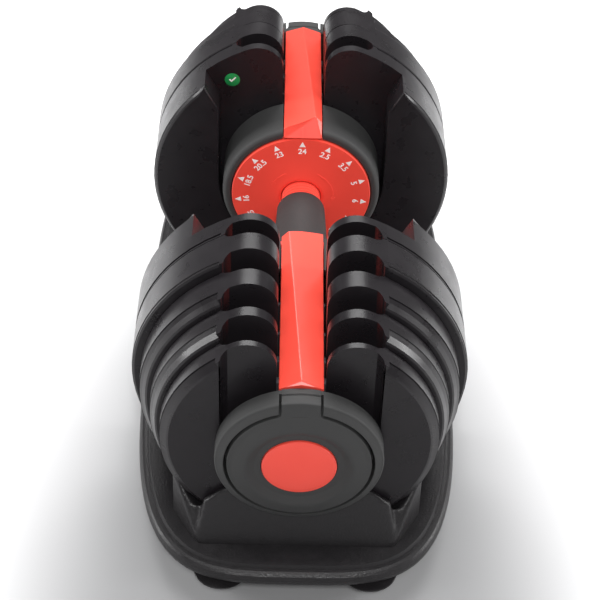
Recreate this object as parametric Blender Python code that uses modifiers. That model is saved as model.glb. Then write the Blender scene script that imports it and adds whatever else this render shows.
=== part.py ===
"""Adjustable dumbbell in its storage tray, modelled as an assembly of separate pieces.

Frame: metres, +Z up, origin on the floor under the middle of the tray. The handle lies along Y.
Each end of the dumbbell is modelled once, in its own frame: x across, u outwards from the grip
and z up from the handle's axis. The rear end points along +Y and the front end is turned about Z.
"""

import math

import bmesh
import bpy

MM = 0.001

# Heights and lengths that everything else follows from.
AXIS_HEIGHT = 113.0 * MM
GAP = 0.3 * MM
ENDS = {"rear": 0.0, "front": math.pi}
SIDES = {"left": -1.0, "right": 1.0}
OUTWARDS = {"rear": 1.0, "front": -1.0}

# Handle.
TUBE_RADIUS = 10.0 * MM
TUBE_BORE = 7.0 * MM
TUBE_HALF_LENGTH = 188.0 * MM
GRIP_RADIUS = 16.5 * MM
GRIP_BELLY = 17.6 * MM
GRIP_HALF_LENGTH = 38.0 * MM
GRIP_SHOULDER = 4.0 * MM
GRIP_BELLY_HALF = 14.0 * MM
GRIP_END_WALL = 1.5 * MM
COLLAR_RADIUS = 13.3 * MM
COLLAR_OUTER_END = 57.7 * MM
COLLAR_STEP = 0.8 * MM
COLLAR_STEP_LENGTH = 6.0 * MM

# Number dial and the fixed housing round it.
DIAL_RADIUS = 48.5 * MM
DIAL_FACE = 52.0 * MM
DIAL_BACK = 57.5 * MM
DIAL_BORE = 13.8 * MM
DIAL_BOSS = 20.0 * MM
DIAL_BOSS_DEPTH = 2.9 * MM
DIAL_EDGE = 0.8 * MM
DIAL_CONE = ((35.0 * MM, 0.4 * MM), (15.3 * MM, 2.6 * MM), (DIAL_BORE, 1.6 * MM))
HOUSING_RADIUS = 55.0 * MM
HOUSING_WALL = 3.0 * MM
HOUSING_FRONT = 54.0 * MM
HOUSING_END = 86.2 * MM
HOUSING_DIAL_GAP = 0.7 * MM
HOUSING_FLOOR = 2.0 * MM
HOUSING_EDGE = ((0.0, 3.0 * MM), (1.0 * MM, 1.0 * MM), (3.0 * MM, 0.0))
NOTCH_MARGIN = 0.6 * MM
NOTCH_BOTTOM = 46.0 * MM
PORT_MARGIN = 0.5 * MM

# Selector sleeve, its toothed wheel and the selector discs.
SLEEVE_RADIUS = 13.2 * MM
SLEEVE_START = 60.7 * MM
SLEEVE_END = 184.0 * MM
WHEEL_RADIUS = 24.0 * MM
WHEEL_ROOT = 22.2 * MM
WHEEL_THICKNESS = 3.5 * MM
WHEEL_TEETH = 60
DISC_RADIUS = 38.0 * MM
LIP_OUTER = 37.4 * MM
LIP_INNER = 34.0 * MM
LIP_DEPTH = 3.0 * MM
DISC_THICKNESS = 2.5 * MM
SETTINGS = 15
STEP = 2.0 * math.pi / SETTINGS

# Weight plates of one end, from the grip outwards. u values: inner face of the cheeks, inner and
# outer face of the web between the two recesses, outer face of the cheeks, start of the disc.
PLATES = (
    {"radius": 104.0, "cheek": 66.0, "web": (87.0, 93.0), "face": 101.0, "disc": 94.0},
    {"radius": 104.0, "cheek": 101.5, "web": (105.0, 119.0), "face": 126.5, "disc": 120.0},
    {"radius": 98.0, "cheek": 127.0, "web": (129.5, 142.5), "face": 149.5, "disc": 143.5},
    {"radius": 90.5, "cheek": 150.0, "web": (153.0, 160.0), "face": 168.5, "disc": 161.0},
    {"radius": 83.5, "cheek": 169.0, "web": (172.5, 176.5), "face": 183.5, "disc": 177.3},
)
# Which plates each dial setting picks up, from the heaviest at the top and then clockwise.
HOOKED = ((1, 2, 3, 4, 5), (), (5,), (4,), (4, 5), (3,), (3, 5), (3, 4), (3, 4, 5), (2, 4),
          (2, 3), (1, 2), (1, 2, 4), (1, 2, 3), (1, 2, 3, 4))
SLOT_HALF = 14.4 * MM
EAR_FILLET = 17.0 * MM
RECESS_HALF = 47.0 * MM
RECESS_OVERRUN = 8.0 * MM
INNER_RECESS_HALF = 58.0 * MM
INNER_RECESS_SHOULDER = 62.0 * MM
INNER_RECESS_SPREAD = 0.53
CORE_HALF = 52.0 * MM
INNER_CORE_HALF = 67.0 * MM
CORE_MARGIN = 6.0 * MM
CORE_COVER = 3.0 * MM
HOOK_HALF_WIDTH = 5.0 * MM
HOOK_INNER = 27.0 * MM
HOOK_OUTER = 32.4 * MM
HOOK_DEPTH = 3.0 * MM
ARC_STEPS = 32
BORE_STEPS = 16

# Red bar over the plates' slots and the black carrier under it.
BAR_HALF = 13.0 * MM
BAR_FOOT = (51.8 * MM, 49.2 * MM)
BAR_CREASE = (57.0 * MM, 58.0 * MM)
BAR_RIDGE_RISE = 4.0 * MM
BAR_END = (184.0 * MM, 48.8 * MM)
BAR_END_RISE = 5.2 * MM
BAR_END_BOTTOM = 43.0 * MM
CARRIER_HALF = 11.0 * MM
CARRIER_BOTTOM = 39.5 * MM
CARRIER_TOP = 42.6 * MM
CARRIER_START = 68.0 * MM
CARRIER_END = 183.5 * MM
CARRIER_UPSTAND = (0.5 * MM, 3.5 * MM, 48.2 * MM)
SADDLE_HALF = 10.0 * MM
SADDLE_BOTTOM = 6.0 * MM
SADDLES = ((101.0 * MM, 104.0 * MM), (168.0 * MM, 171.0 * MM))
SCREW_PLACE = 112.0 * MM
SCREW_RADIUS = 2.0 * MM
SCREW_HEAD = 3.6 * MM
SCREW_HEAD_DEPTH = 2.4 * MM
SCREW_TOP = 48.0 * MM

# End knob.
KNOB_RADIUS = 50.0 * MM
KNOB_BACK = 184.3 * MM
KNOB_FLOOR = 187.3 * MM
KNOB_FRONT = 199.2 * MM
KNOB_BORE = 44.6 * MM
COVER_RADIUS = 43.6 * MM
COVER_FRONT = 199.8 * MM
COVER_BACK = 188.5 * MM
KEYWAY_HALF = 12.5 * MM
KEYWAY_BOTTOM = 35.0 * MM
KNOB_CONE = ((44.9, 199.5), (48.6, 197.3), (49.6, 196.4), (50.0, 195.2))
COVER_DISH = ((22.7, 199.2), (26.0, 199.6), (30.2, 202.3), (31.6, 202.6), (33.2, 202.3))
COVER_EDGE = (0.8 * MM, 0.8 * MM)
KEY = (
    (11.4, 188.5, 38.0), (11.4, 188.5, 48.5), (4.0, 188.5, 49.7), (11.4, 195.4, 48.5),
    (4.0, 195.4, 49.7), (11.4, 199.2, 43.2), (11.4, 199.2, 38.0),
)
CAP_RADIUS = 22.3 * MM
CAP_SEAT = 195.0 * MM
CAP_CROWN = 203.2 * MM
CAP_DOME = 2.4 * MM
CAP_EDGE = (0.4 * MM, 3.2 * MM)

# Lock plate and spring that hold the dial when the dumbbell is out of the tray.
LOCK_NEAR = 61.0 * MM
LOCK_FAR = 64.0 * MM
LOCK_HALF = 31.0 * MM
LOCK_TOP = 33.0 * MM
LOCK_BOTTOM = -31.0 * MM
LOCK_WINDOW = (25.5 * MM, -25.0 * MM, 28.5 * MM)
LOCK_TOOTH_TIP = 25.2 * MM
LOCK_TOOTH_HALF = 2.4 * MM
STEM_HALF = 6.0 * MM
STEM_END = -58.0 * MM
SPRING_RADIUS = 2.2 * MM
SPRING_WIRE = 0.4 * MM
SPRING_MIDDLE = 63.2 * MM
SPRING_SPAN = (34.0 * MM, 47.4 * MM)
SPRING_TURNS = 4

# Storage tray. The outline is a superellipse, and each ring is half width, half length, height.
TRAY_EXPONENT = 3.8
TRAY_POINTS = 40
TRAY_WALL = 3.0 * MM
TRAY_RINGS = (
    (105.6, 220.4, 27.0), (106.0, 221.0, 29.8), (105.2, 220.0, 33.4), (103.2, 217.6, 35.0),
    (100.6, 214.6, 33.4), (88.0, 200.0, 12.0), (82.0, 193.0, 8.0),
)
CRADLE_HALF = 62.0 * MM
CRADLE_SPAN = (126.9 * MM, 172.0 * MM)
CRADLE_TOP = -50.0 * MM
# Corners of the right halves in an end's own frame: across, outwards from the grip, up from the axis.
PEDESTAL = (
    (44.5, 178.0, -36.5), (44.5, 187.0, -36.5), (57.0, 178.0, -47.0), (57.0, 189.8, -47.0),
    (62.0, 178.0, -70.5), (62.0, 197.0, -70.5), (60.0, 199.6, -80.0), (56.0, 197.0, -91.5),
    (54.0, 192.0, -98.5), (36.0, 191.5, -105.5), (36.0, 171.0, -106.0), (54.0, 171.0, -106.0),
)
BUTTRESS = (
    (77.5, 169.3, -37.5), (69.0, 169.3, -37.5), (59.5, 186.0, -56.0), (62.0, 197.0, -70.5),
    (79.0, 169.3, -93.0), (64.0, 190.0, -93.0), (72.0, 169.3, -102.0), (62.0, 178.0, -104.5),
    (60.0, 188.0, -101.0), (44.0, 191.5, -105.0), (44.0, 169.3, -106.0), (50.0, 186.0, -60.0),
)
CRADLE_CLEARANCE = 0.7 * MM
FOOT_PLACE = (46.0 * MM, 190.0 * MM)
FOOT_RADIUS = 9.0 * MM
FOOT_HEIGHT = 2.7 * MM
LEG_MARGIN = 1.5 * MM
FINGER_HALF = 7.0 * MM
FINGER_SPAN = (58.8 * MM, 64.8 * MM)
FINGER_TOP = -58.6 * MM
BRIDGE_THICKNESS = 4.0 * MM
ROOM_END = 201.0 * MM
ROOM_START = 60.0 * MM
KNOB_CLEARANCE = 1.5 * MM
TRAY_FLOOR = 8.0 * MM


# ---------------------------------------------------------------- helpers

def clear_scene():
    """Remove every object of the open file."""
    for item in list(bpy.data.objects):
        bpy.data.objects.remove(item, do_unlink=True)


def collection(name):
    """Make a collection in the scene."""
    made = bpy.data.collections.new(name)
    bpy.context.scene.collection.children.link(made)
    return made


def finish(name, colour, roughness, metallic=0.0):
    """Make a Principled material."""
    material = bpy.data.materials.new(name)
    material.use_nodes = True
    shader = material.node_tree.nodes["Principled BSDF"]
    shader.inputs["Base Color"].default_value = (*colour, 1.0)
    shader.inputs["Roughness"].default_value = roughness
    shader.inputs["Metallic"].default_value = metallic
    return material


def add(name, mesh, parent, material):
    """Put a mesh into the scene as one named piece."""
    piece = bpy.data.objects.new(name, mesh)
    piece.parent = parent
    if material is None:
        CUTTERS.objects.link(piece)
        piece.hide_render = True
        piece.display_type = "WIRE"
    else:
        PARTS.objects.link(piece)
        piece.data.materials.append(material)
    return piece


def empty(name, location, turn, parent=None):
    """Add an empty that carries pieces."""
    anchor = bpy.data.objects.new(name, None)
    anchor.location = location
    anchor.rotation_euler = (0.0, 0.0, turn)
    anchor.parent = parent
    PARTS.objects.link(anchor)
    return anchor


def to_mesh(shape, name):
    """Turn a bmesh into mesh data."""
    bmesh.ops.recalc_face_normals(shape, faces=shape.faces)
    mesh = bpy.data.meshes.new(name)
    shape.to_mesh(mesh)
    shape.free()
    return mesh


def block(name, low, high, parent, material=None):
    """Rectangular block between two corners."""
    shape = bmesh.new()
    bmesh.ops.create_cube(shape, size=1.0)
    size = [high[i] - low[i] for i in range(3)]
    middle = [(high[i] + low[i]) / 2.0 for i in range(3)]
    bmesh.ops.scale(shape, vec=size, verts=shape.verts)
    bmesh.ops.translate(shape, vec=middle, verts=shape.verts)
    return add(name, to_mesh(shape, name), parent, material)


def hull(name, points, parent, material=None):
    """Convex solid round a set of points."""
    shape = bmesh.new()
    for point in points:
        shape.verts.new(point)
    result = bmesh.ops.convex_hull(shape, input=shape.verts)
    loose = {part for part in result["geom_interior"] if isinstance(part, bmesh.types.BMVert)}
    bmesh.ops.delete(shape, geom=list(loose), context="VERTS")
    return add(name, to_mesh(shape, name), parent, material)


def rod(name, radius, low, high, place, parent, material=None, steps=12):
    """Upright cylinder between two heights at a place in the ground plane."""
    shape = bmesh.new()
    bmesh.ops.create_cone(shape, cap_ends=True, segments=steps, radius1=radius, radius2=radius,
                          depth=high - low)
    bmesh.ops.translate(shape, vec=(place[0], place[1], (low + high) / 2.0), verts=shape.verts)
    return add(name, to_mesh(shape, name), parent, material)


def slab(name, loops, near, far, parent, material=None):
    """Flat plate with an (x, z) outline and holes, from u = near to u = far."""
    curve = bpy.data.curves.new(name, "CURVE")
    curve.dimensions = "2D"
    curve.fill_mode = "BOTH"
    curve.extrude = (far - near) / 2.0
    for loop in loops:
        spline = curve.splines.new("POLY")
        spline.points.add(len(loop) - 1)
        spline.use_cyclic_u = True
        for point, (x, z) in zip(spline.points, loop):
            point.co = (x, -z, 0.0, 1.0)
    drawn = bpy.data.objects.new(name + "_outline", curve)
    CUTTERS.objects.link(drawn)
    bpy.context.view_layer.update()
    depsgraph = bpy.context.evaluated_depsgraph_get()
    mesh = bpy.data.meshes.new_from_object(drawn.evaluated_get(depsgraph))
    bpy.data.objects.remove(drawn, do_unlink=True)
    shape = bmesh.new()
    shape.from_mesh(mesh)
    bpy.data.meshes.remove(mesh)
    bmesh.ops.remove_doubles(shape, verts=shape.verts, dist=1e-6)
    piece = add(name, to_mesh(shape, name), parent, material)
    piece.location = (0.0, (near + far) / 2.0, 0.0)
    piece.rotation_euler = (-math.pi / 2.0, 0.0, 0.0)
    return piece


def turned(name, outline, parent, material=None, steps=ARC_STEPS):
    """Turn a closed (radius, u) outline about the handle's axis, outer side first, far end first."""
    mesh = bpy.data.meshes.new(name)
    points = [(radius, 0.0, u) for radius, u in outline]
    edges = [(i, (i + 1) % len(points)) for i in range(len(points))]
    if outline[0][0] == 0.0:
        edges.pop()
    mesh.from_pydata(points, edges, [])
    piece = add(name, mesh, parent, material)
    piece.rotation_euler = (-math.pi / 2.0, 0.0, 0.0)
    screw = piece.modifiers.new("Turn", "SCREW")
    screw.steps = steps
    screw.render_steps = steps
    screw.use_merge_vertices = True
    screw.merge_threshold = 0.00001
    return piece


def boolean(piece, other, operation):
    """Cut a piece with another shape, or join the two."""
    change = piece.modifiers.new(other.name, "BOOLEAN")
    change.operation = operation
    change.solver = "EXACT"
    change.object = other


def ring(outer, inner, low, high):
    """Closed outline of a plain ring for turned()."""
    return [(outer, high), (outer, low), (inner, low), (inner, high)]


def arc(radius, start, end, steps, centre=(0.0, 0.0)):
    """Points on an arc; angles run clockwise from straight up."""
    return [(centre[0] + radius * math.sin(start + (end - start) * i / steps),
             centre[1] + radius * math.cos(start + (end - start) * i / steps))
            for i in range(steps + 1)]


def mirrored(half):
    """Close a right half outline, which runs from the bottom to the top, with its mirror image."""
    return half + [(-x, z) for x, z in reversed(half) if abs(x) > 1e-9]


# ---------------------------------------------------------------- outlines

def plate_outline(radius):
    """Round plate with a slot from the top to the axis and a filleted ear on each side of it."""
    across = SLOT_HALF + EAR_FILLET
    up = math.sqrt((radius - EAR_FILLET) ** 2 - across ** 2)
    lean = math.atan2(across, up)
    rim = arc(radius, math.pi, lean, 14)
    ear = arc(EAR_FILLET, lean, -math.pi / 2.0, 4, (across, up))[1:]
    slot = arc(SLOT_HALF, math.pi / 2.0, math.pi, 3)
    return mirrored(rim + ear + slot)


def channel_outline(half, top, shoulder=None):
    """U-shaped recess that is open at the top; above a shoulder it widens outwards."""
    walls = arc(half, math.pi, math.pi / 2.0, 6)
    if shoulder is None:
        walls.append((half, top))
    else:
        walls.append((half, shoulder))
        walls.append((half + (top - shoulder) * INNER_RECESS_SPREAD, top))
    return mirrored(walls)


def core_outline(outer, half, gap):
    """C-shaped core round the recess, shrunk by a gap on every side."""
    outer = outer - gap
    half = half + gap
    tip = math.asin(half / outer)
    outside = arc(outer, math.pi, tip, 10)
    inside = arc(half, math.pi / 2.0, math.pi, 6)
    return mirrored(outside + inside)


def circle(radius, steps=ARC_STEPS):
    """Full circle as an outline."""
    return arc(radius, 0.0, 2.0 * math.pi, steps)[:-1]


def bore(radius, steps):
    """Outline of a hole whose flats stay clear of a shaft of this radius."""
    return circle(radius / math.cos(math.pi / steps), steps)


def wheel_outline():
    """Finely toothed wheel; a tooth gap points straight up."""
    points = []
    for tooth in range(WHEEL_TEETH):
        angle = 2.0 * math.pi * tooth / WHEEL_TEETH
        points.append((WHEEL_ROOT * math.sin(angle), WHEEL_ROOT * math.cos(angle)))
        angle += math.pi / WHEEL_TEETH
        points.append((WHEEL_RADIUS * math.sin(angle), WHEEL_RADIUS * math.cos(angle)))
    return points


# ---------------------------------------------------------------- handle

def handle(parent):
    """Steel tube and the rubber grip on its middle."""
    turned("handle_tube", ring(TUBE_RADIUS, TUBE_BORE, -TUBE_HALF_LENGTH, TUBE_HALF_LENGTH),
           parent, STEEL, 16)
    side = [(TUBE_RADIUS + GRIP_END_WALL, GRIP_HALF_LENGTH)]
    side += arc(GRIP_SHOULDER, 0.0, math.pi / 2.0, 4,
                (GRIP_RADIUS - GRIP_SHOULDER, GRIP_HALF_LENGTH - GRIP_SHOULDER))
    side.append((GRIP_BELLY, GRIP_BELLY_HALF))
    outline = side + [(radius, -u) for radius, u in reversed(side)]
    outline += [(TUBE_RADIUS + GAP, -GRIP_HALF_LENGTH), (TUBE_RADIUS + GAP, GRIP_HALF_LENGTH)]
    turned("rubber_grip", outline, parent, RUBBER, 20)


def grip_collar(end, parent):
    """Stepped red neck between the grip and the dial."""
    start = GRIP_HALF_LENGTH + GAP
    step = start + COLLAR_STEP_LENGTH
    outline = [
        (COLLAR_RADIUS, COLLAR_OUTER_END), (COLLAR_RADIUS, step),
        (COLLAR_RADIUS - COLLAR_STEP, step), (COLLAR_RADIUS - COLLAR_STEP, start),
        (TUBE_RADIUS + GAP, start), (TUBE_RADIUS + GAP, COLLAR_OUTER_END),
    ]
    turned(end + "_grip_collar", outline, parent, RED, 16)


# ---------------------------------------------------------------- selector

def number_dial(end, parent):
    """Round number dial whose face rises slightly towards the neck."""
    boss_end = DIAL_BACK + DIAL_BOSS_DEPTH
    outline = [(DIAL_RADIUS, DIAL_BACK), (DIAL_RADIUS, DIAL_FACE + DIAL_EDGE),
               (DIAL_RADIUS - DIAL_EDGE, DIAL_FACE)]
    outline += [(radius, DIAL_FACE - rise) for radius, rise in DIAL_CONE]
    outline += [(DIAL_BORE, boss_end), (DIAL_BOSS, boss_end), (DIAL_BOSS, DIAL_BACK)]
    turned(end + "_number_dial", outline, parent, RED)


def selector_sleeve(end, parent):
    """Sleeve that turns on the handle tube, with the toothed wheel at its inner end."""
    far = SLEEVE_START + WHEEL_THICKNESS
    wheel = slab(end + "_selector_sleeve", [wheel_outline(), bore(TUBE_RADIUS + GAP, BORE_STEPS)],
                 SLEEVE_START, far, parent, STEEL)
    tube = turned(end + "_sleeve_tube", ring(SLEEVE_RADIUS, TUBE_RADIUS + GAP, far - GAP, SLEEVE_END),
                  parent, None, 16)
    boolean(wheel, tube, "UNION")


def selector_disc(end, number, plate, parent):
    """Disc with a rim lip that runs under its plate's hook at the settings that pick it up."""
    start = plate["disc"] * MM
    floor = start + LIP_DEPTH
    name = f"{end}_selector_disc_{number}"
    disc = slab(name, [circle(DISC_RADIUS, 24), bore(SLEEVE_RADIUS + GAP, BORE_STEPS)],
                floor, floor + DISC_THICKNESS, parent, DISC_PLASTIC)
    lips = slab(name + "_lips", lip_sectors(number), start, floor + 0.5 * MM, parent)
    boolean(disc, lips, "UNION")


def lip_sectors(number):
    """Outlines of the lip, one for each unbroken run of settings that hook this plate."""
    held = [number in plates for plates in HOOKED]
    first = held.index(False)
    order = [(first + i) % SETTINGS for i in range(SETTINGS)]
    loops = []
    run = []
    for setting in order + [first]:
        if held[setting]:
            run.append(setting)
        elif run:
            loops.append(sector(run[0], len(run)))
            run = []
    return loops


def sector(setting, count):
    """Part of the lip ring over a run of settings, counted on the side away from the pointer."""
    start = math.pi + (setting - 0.5) * STEP
    end = start + count * STEP
    return arc(LIP_OUTER, start, end, count) + arc(LIP_INNER, end, start, count)


# ---------------------------------------------------------------- fixed frame of an end

def hub_housing(end, parent):
    """Black ring round the dial with a wall behind it and a hollow for the lock."""
    inside = HOUSING_RADIUS - HOUSING_WALL
    opening = DIAL_RADIUS + HOUSING_DIAL_GAP
    hole = DIAL_BOSS + HOUSING_DIAL_GAP
    wall = DIAL_BACK + HOUSING_DIAL_GAP
    outline = [(HOUSING_RADIUS, HOUSING_END)]
    outline += [(HOUSING_RADIUS - inset, HOUSING_FRONT + back) for inset, back in HOUSING_EDGE]
    outline += [(opening, HOUSING_FRONT), (opening, wall), (hole, wall),
                (hole, wall + HOUSING_FLOOR), (inside, wall + HOUSING_FLOOR), (inside, HOUSING_END)]
    housing = turned(end + "_hub_housing", outline, parent, BLACK)
    half = BAR_HALF + NOTCH_MARGIN
    notch = block(end + "_bar_notch", (-half, HOUSING_FRONT - MM, NOTCH_BOTTOM),
                  (half, HOUSING_END + MM, HOUSING_RADIUS + MM), parent)
    half = STEM_HALF + PORT_MARGIN
    port = block(end + "_stem_port", (-half, LOCK_NEAR - PORT_MARGIN, -HOUSING_RADIUS - MM),
                 (half, LOCK_FAR + PORT_MARGIN, -inside + HOUSING_WALL), parent)
    boolean(housing, notch, "DIFFERENCE")
    boolean(housing, port, "DIFFERENCE")


def top_bar(end, parent):
    """Red bar with a shallow roof: side walls rise to a ridge on the middle."""
    points = []
    for side in (-BAR_HALF, BAR_HALF):
        points.append((side, *BAR_FOOT))
        points.append((side, *BAR_CREASE))
        points.append((side, *BAR_END))
        points.append((side, BAR_END[0], BAR_END_BOTTOM))
    points.append((0.0, BAR_CREASE[0], BAR_CREASE[1] + BAR_RIDGE_RISE))
    points.append((0.0, BAR_END[0], BAR_END[1] + BAR_END_RISE))
    bar = hull(end + "_top_bar", points, parent, RED)
    hole = rod(end + "_bar_hole", SCREW_RADIUS + GAP, CARRIER_TOP, SCREW_TOP + MM,
               (0.0, SCREW_PLACE), parent)
    boolean(bar, hole, "DIFFERENCE")


def bar_carrier(end, parent):
    """Beam under the bar with an upstand at the hub and two saddles that ride on the sleeve."""
    beam = block(end + "_bar_carrier", (-CARRIER_HALF, CARRIER_START, CARRIER_BOTTOM),
                 (CARRIER_HALF, CARRIER_END, CARRIER_TOP), parent, BLACK)
    near, far, top = CARRIER_UPSTAND
    upstand = block(end + "_carrier_upstand",
                    (-CARRIER_HALF + MM, CARRIER_START + near, CARRIER_TOP - MM),
                    (CARRIER_HALF - MM, CARRIER_START + far, top), parent)
    boolean(beam, upstand, "UNION")
    for number, (near, far) in enumerate(SADDLES, 1):
        saddle = block(f"{end}_carrier_saddle_{number}", (-SADDLE_HALF, near, SADDLE_BOTTOM),
                       (SADDLE_HALF, far, CARRIER_TOP - MM), parent)
        boolean(beam, saddle, "UNION")
    hollow = slab(end + "_carrier_bore", [bore(SLEEVE_RADIUS + GAP, BORE_STEPS)],
                  SADDLES[0][0] - MM, SADDLES[-1][1] + MM, parent)
    boolean(beam, hollow, "DIFFERENCE")
    hole = rod(end + "_carrier_hole", SCREW_RADIUS + GAP, CARRIER_BOTTOM - MM, CARRIER_TOP + MM,
               (0.0, SCREW_PLACE), parent)
    boolean(beam, hole, "DIFFERENCE")


def bar_screw(end, parent):
    """Screw from below that holds the bar on its carrier."""
    top = CARRIER_BOTTOM - GAP
    place = (0.0, SCREW_PLACE)
    screw = rod(end + "_bar_screw", SCREW_HEAD, top - SCREW_HEAD_DEPTH, top, place, parent, STEEL)
    shank = rod(end + "_screw_shank", SCREW_RADIUS, top - MM, SCREW_TOP, place, parent)
    boolean(screw, shank, "UNION")


# ---------------------------------------------------------------- weight plates

def weight_plate(end, number, plate, parent):
    """Moulded shell of one plate and the steel core in its pocket."""
    radius = plate["radius"] * MM
    cheek = plate["cheek"] * MM
    face = plate["face"] * MM
    web_in = plate["web"][0] * MM
    web_out = plate["web"][1] * MM
    name = f"{end}_plate_{number}"
    shell = slab(name, [plate_outline(radius)], cheek, face, parent, PLATE_PLASTIC)
    innermost = number == 1
    top = radius + RECESS_OVERRUN
    channel = channel_outline(RECESS_HALF, top)
    wide_channel = channel_outline(INNER_RECESS_HALF, top, INNER_RECESS_SHOULDER)
    inner_recess = slab(name + "_inner_recess", [wide_channel if innermost else channel],
                        cheek - MM, web_in, parent)
    boolean(shell, inner_recess, "DIFFERENCE")
    outer_recess = slab(name + "_outer_recess", [channel], web_out, face + MM, parent)
    boolean(shell, outer_recess, "DIFFERENCE")
    half = INNER_CORE_HALF if innermost else CORE_HALF
    outer = radius - CORE_MARGIN
    near, far = (cheek + CORE_COVER, face + MM) if innermost else (cheek - MM, face - CORE_COVER)
    boolean(shell, slab(name + "_pocket", [core_outline(outer, half, 0.0)], near, far, parent),
            "DIFFERENCE")
    hook = block(name + "_hook", (-HOOK_HALF_WIDTH, web_out - MM, -HOOK_OUTER),
                 (HOOK_HALF_WIDTH, web_out + HOOK_DEPTH, -HOOK_INNER), parent)
    boolean(shell, hook, "UNION")
    near = max(near, cheek) + GAP
    far = min(far, face) - GAP
    slab(name + "_core", [core_outline(outer, half, GAP)], near, far, parent, STEEL)


# ---------------------------------------------------------------- end knob

def end_knob(end, parent):
    """Turning knob: outer ring with a back, front cover with a key, and the domed cap."""
    outline = [(radius * MM, out * MM) for radius, out in KNOB_CONE]
    outline += [(KNOB_RADIUS, KNOB_BACK), (TUBE_RADIUS + GAP, KNOB_BACK),
                (TUBE_RADIUS + GAP, KNOB_FLOOR), (KNOB_BORE, KNOB_FLOOR), (KNOB_BORE, KNOB_FRONT)]
    rim = turned(end + "_knob_ring", outline, parent, BLACK)
    keyway = block(end + "_keyway", (-KEYWAY_HALF, KNOB_FLOOR, KEYWAY_BOTTOM),
                   (KEYWAY_HALF, KNOB_FRONT + MM, KNOB_RADIUS + MM), parent)
    boolean(rim, keyway, "DIFFERENCE")
    last = len(PLATES)
    start = PLATES[-1]["disc"] * MM
    lips = slab(end + "_knob_lips", lip_sectors(last), start, KNOB_BACK + MM, parent)
    boolean(rim, lips, "UNION")
    knob_cover(end, parent)
    knob_cap(end, parent)


def knob_cover(end, parent):
    """Bulging front cover with a dished seat for the cap and a key that fills the keyway."""
    seat = CAP_RADIUS + CAP_EDGE[0]
    inset, back = COVER_EDGE
    outline = [
        (0.0, CAP_SEAT), (seat, CAP_SEAT), *((radius * MM, out * MM) for radius, out in COVER_DISH),
        (COVER_RADIUS - inset, COVER_FRONT), (COVER_RADIUS, COVER_FRONT - back),
        (COVER_RADIUS, COVER_BACK), (0.0, COVER_BACK),
    ]
    cover = turned(end + "_knob_cover", outline, parent, BLACK)
    key = hull(end + "_cover_key", in_metres(KEY, 1.0) + in_metres(KEY, -1.0), parent)
    boolean(cover, key, "UNION")


def knob_cap(end, parent):
    """Domed cap in the cover's seat."""
    inset, side = CAP_EDGE
    dome = [(0.0, CAP_CROWN)]
    for share in (0.25, 0.5, 0.75, 1.0):
        dome.append(((CAP_RADIUS - inset) * share, CAP_CROWN - CAP_DOME * share ** 3))
    dome += [(CAP_RADIUS, CAP_CROWN - side), (CAP_RADIUS, CAP_SEAT + GAP), (0.0, CAP_SEAT + GAP)]
    turned(end + "_knob_cap", dome, parent, RED, 20)


# ---------------------------------------------------------------- lock

def lock(end, parent):
    """Lock plate with a window round the toothed wheel, and the spring over it."""
    half, low, high = LOCK_WINDOW
    outline = mirrored([
        (0.0, STEM_END), (STEM_HALF, STEM_END), (STEM_HALF, LOCK_BOTTOM), (LOCK_HALF, LOCK_BOTTOM),
        (LOCK_HALF, LOCK_TOP), (0.0, LOCK_TOP),
    ])
    window = mirrored([
        (0.0, low), (half, low), (half, high), (LOCK_TOOTH_HALF, high), (0.0, LOCK_TOOTH_TIP),
    ])
    slab(end + "_lock_plate", [outline, window], LOCK_NEAR, LOCK_FAR, parent, STEEL)
    curve = bpy.data.curves.new(end + "_lock_spring", "CURVE")
    curve.dimensions = "3D"
    curve.bevel_depth = SPRING_WIRE
    curve.bevel_resolution = 1
    curve.use_fill_caps = True
    spline = curve.splines.new("POLY")
    count = SPRING_TURNS * 8
    spline.points.add(count)
    for i, point in enumerate(spline.points):
        angle = 2.0 * math.pi * i / 8.0
        height = SPRING_SPAN[0] + (SPRING_SPAN[1] - SPRING_SPAN[0]) * i / count
        point.co = (SPRING_RADIUS * math.cos(angle), SPRING_MIDDLE + SPRING_RADIUS * math.sin(angle),
                    height, 1.0)
    spring = bpy.data.objects.new(end + "_lock_spring", curve)
    spring.parent = parent
    PARTS.objects.link(spring)
    curve.materials.append(STEEL)


# ---------------------------------------------------------------- tray

def tray_ring(shape, half_width, half_length, height):
    """Vertices of one superellipse ring."""
    power = 2.0 / TRAY_EXPONENT
    ring_verts = []
    for i in range(TRAY_POINTS):
        angle = 2.0 * math.pi * i / TRAY_POINTS
        across = math.copysign(abs(math.cos(angle)) ** power, math.cos(angle))
        along = math.copysign(abs(math.sin(angle)) ** power, math.sin(angle))
        ring_verts.append(shape.verts.new((half_width * across * MM, half_length * along * MM,
                                           height * MM)))
    return ring_verts


def tray_shell(parent):
    """Moulded tray: a shell with a rolled rim, cradles under the small plates and end blocks."""
    shape = bmesh.new()
    rings = [tray_ring(shape, *values) for values in TRAY_RINGS]
    for lower, upper in zip(rings, rings[1:]):
        for i in range(TRAY_POINTS):
            j = (i + 1) % TRAY_POINTS
            shape.faces.new((lower[i], lower[j], upper[j], upper[i]))
    shape.faces.new(rings[-1])
    mesh = bpy.data.meshes.new("tray_shell")
    shape.to_mesh(mesh)
    shape.free()
    shell = add("tray_shell", mesh, parent, TRAY_PLASTIC)
    wall = shell.modifiers.new("Wall", "SOLIDIFY")
    wall.thickness = TRAY_WALL
    wall.offset = -1.0
    for end, turn in ENDS.items():
        side = empty(f"{end}_tray_end", (0.0, 0.0, AXIS_HEIGHT), turn, parent)
        for solid in tray_end(end, side):
            boolean(shell, solid, "UNION")
    for end in ENDS:
        side = bpy.data.objects[f"{end}_tray_end"]
        boolean(shell, plate_room(end, side), "DIFFERENCE")


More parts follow.
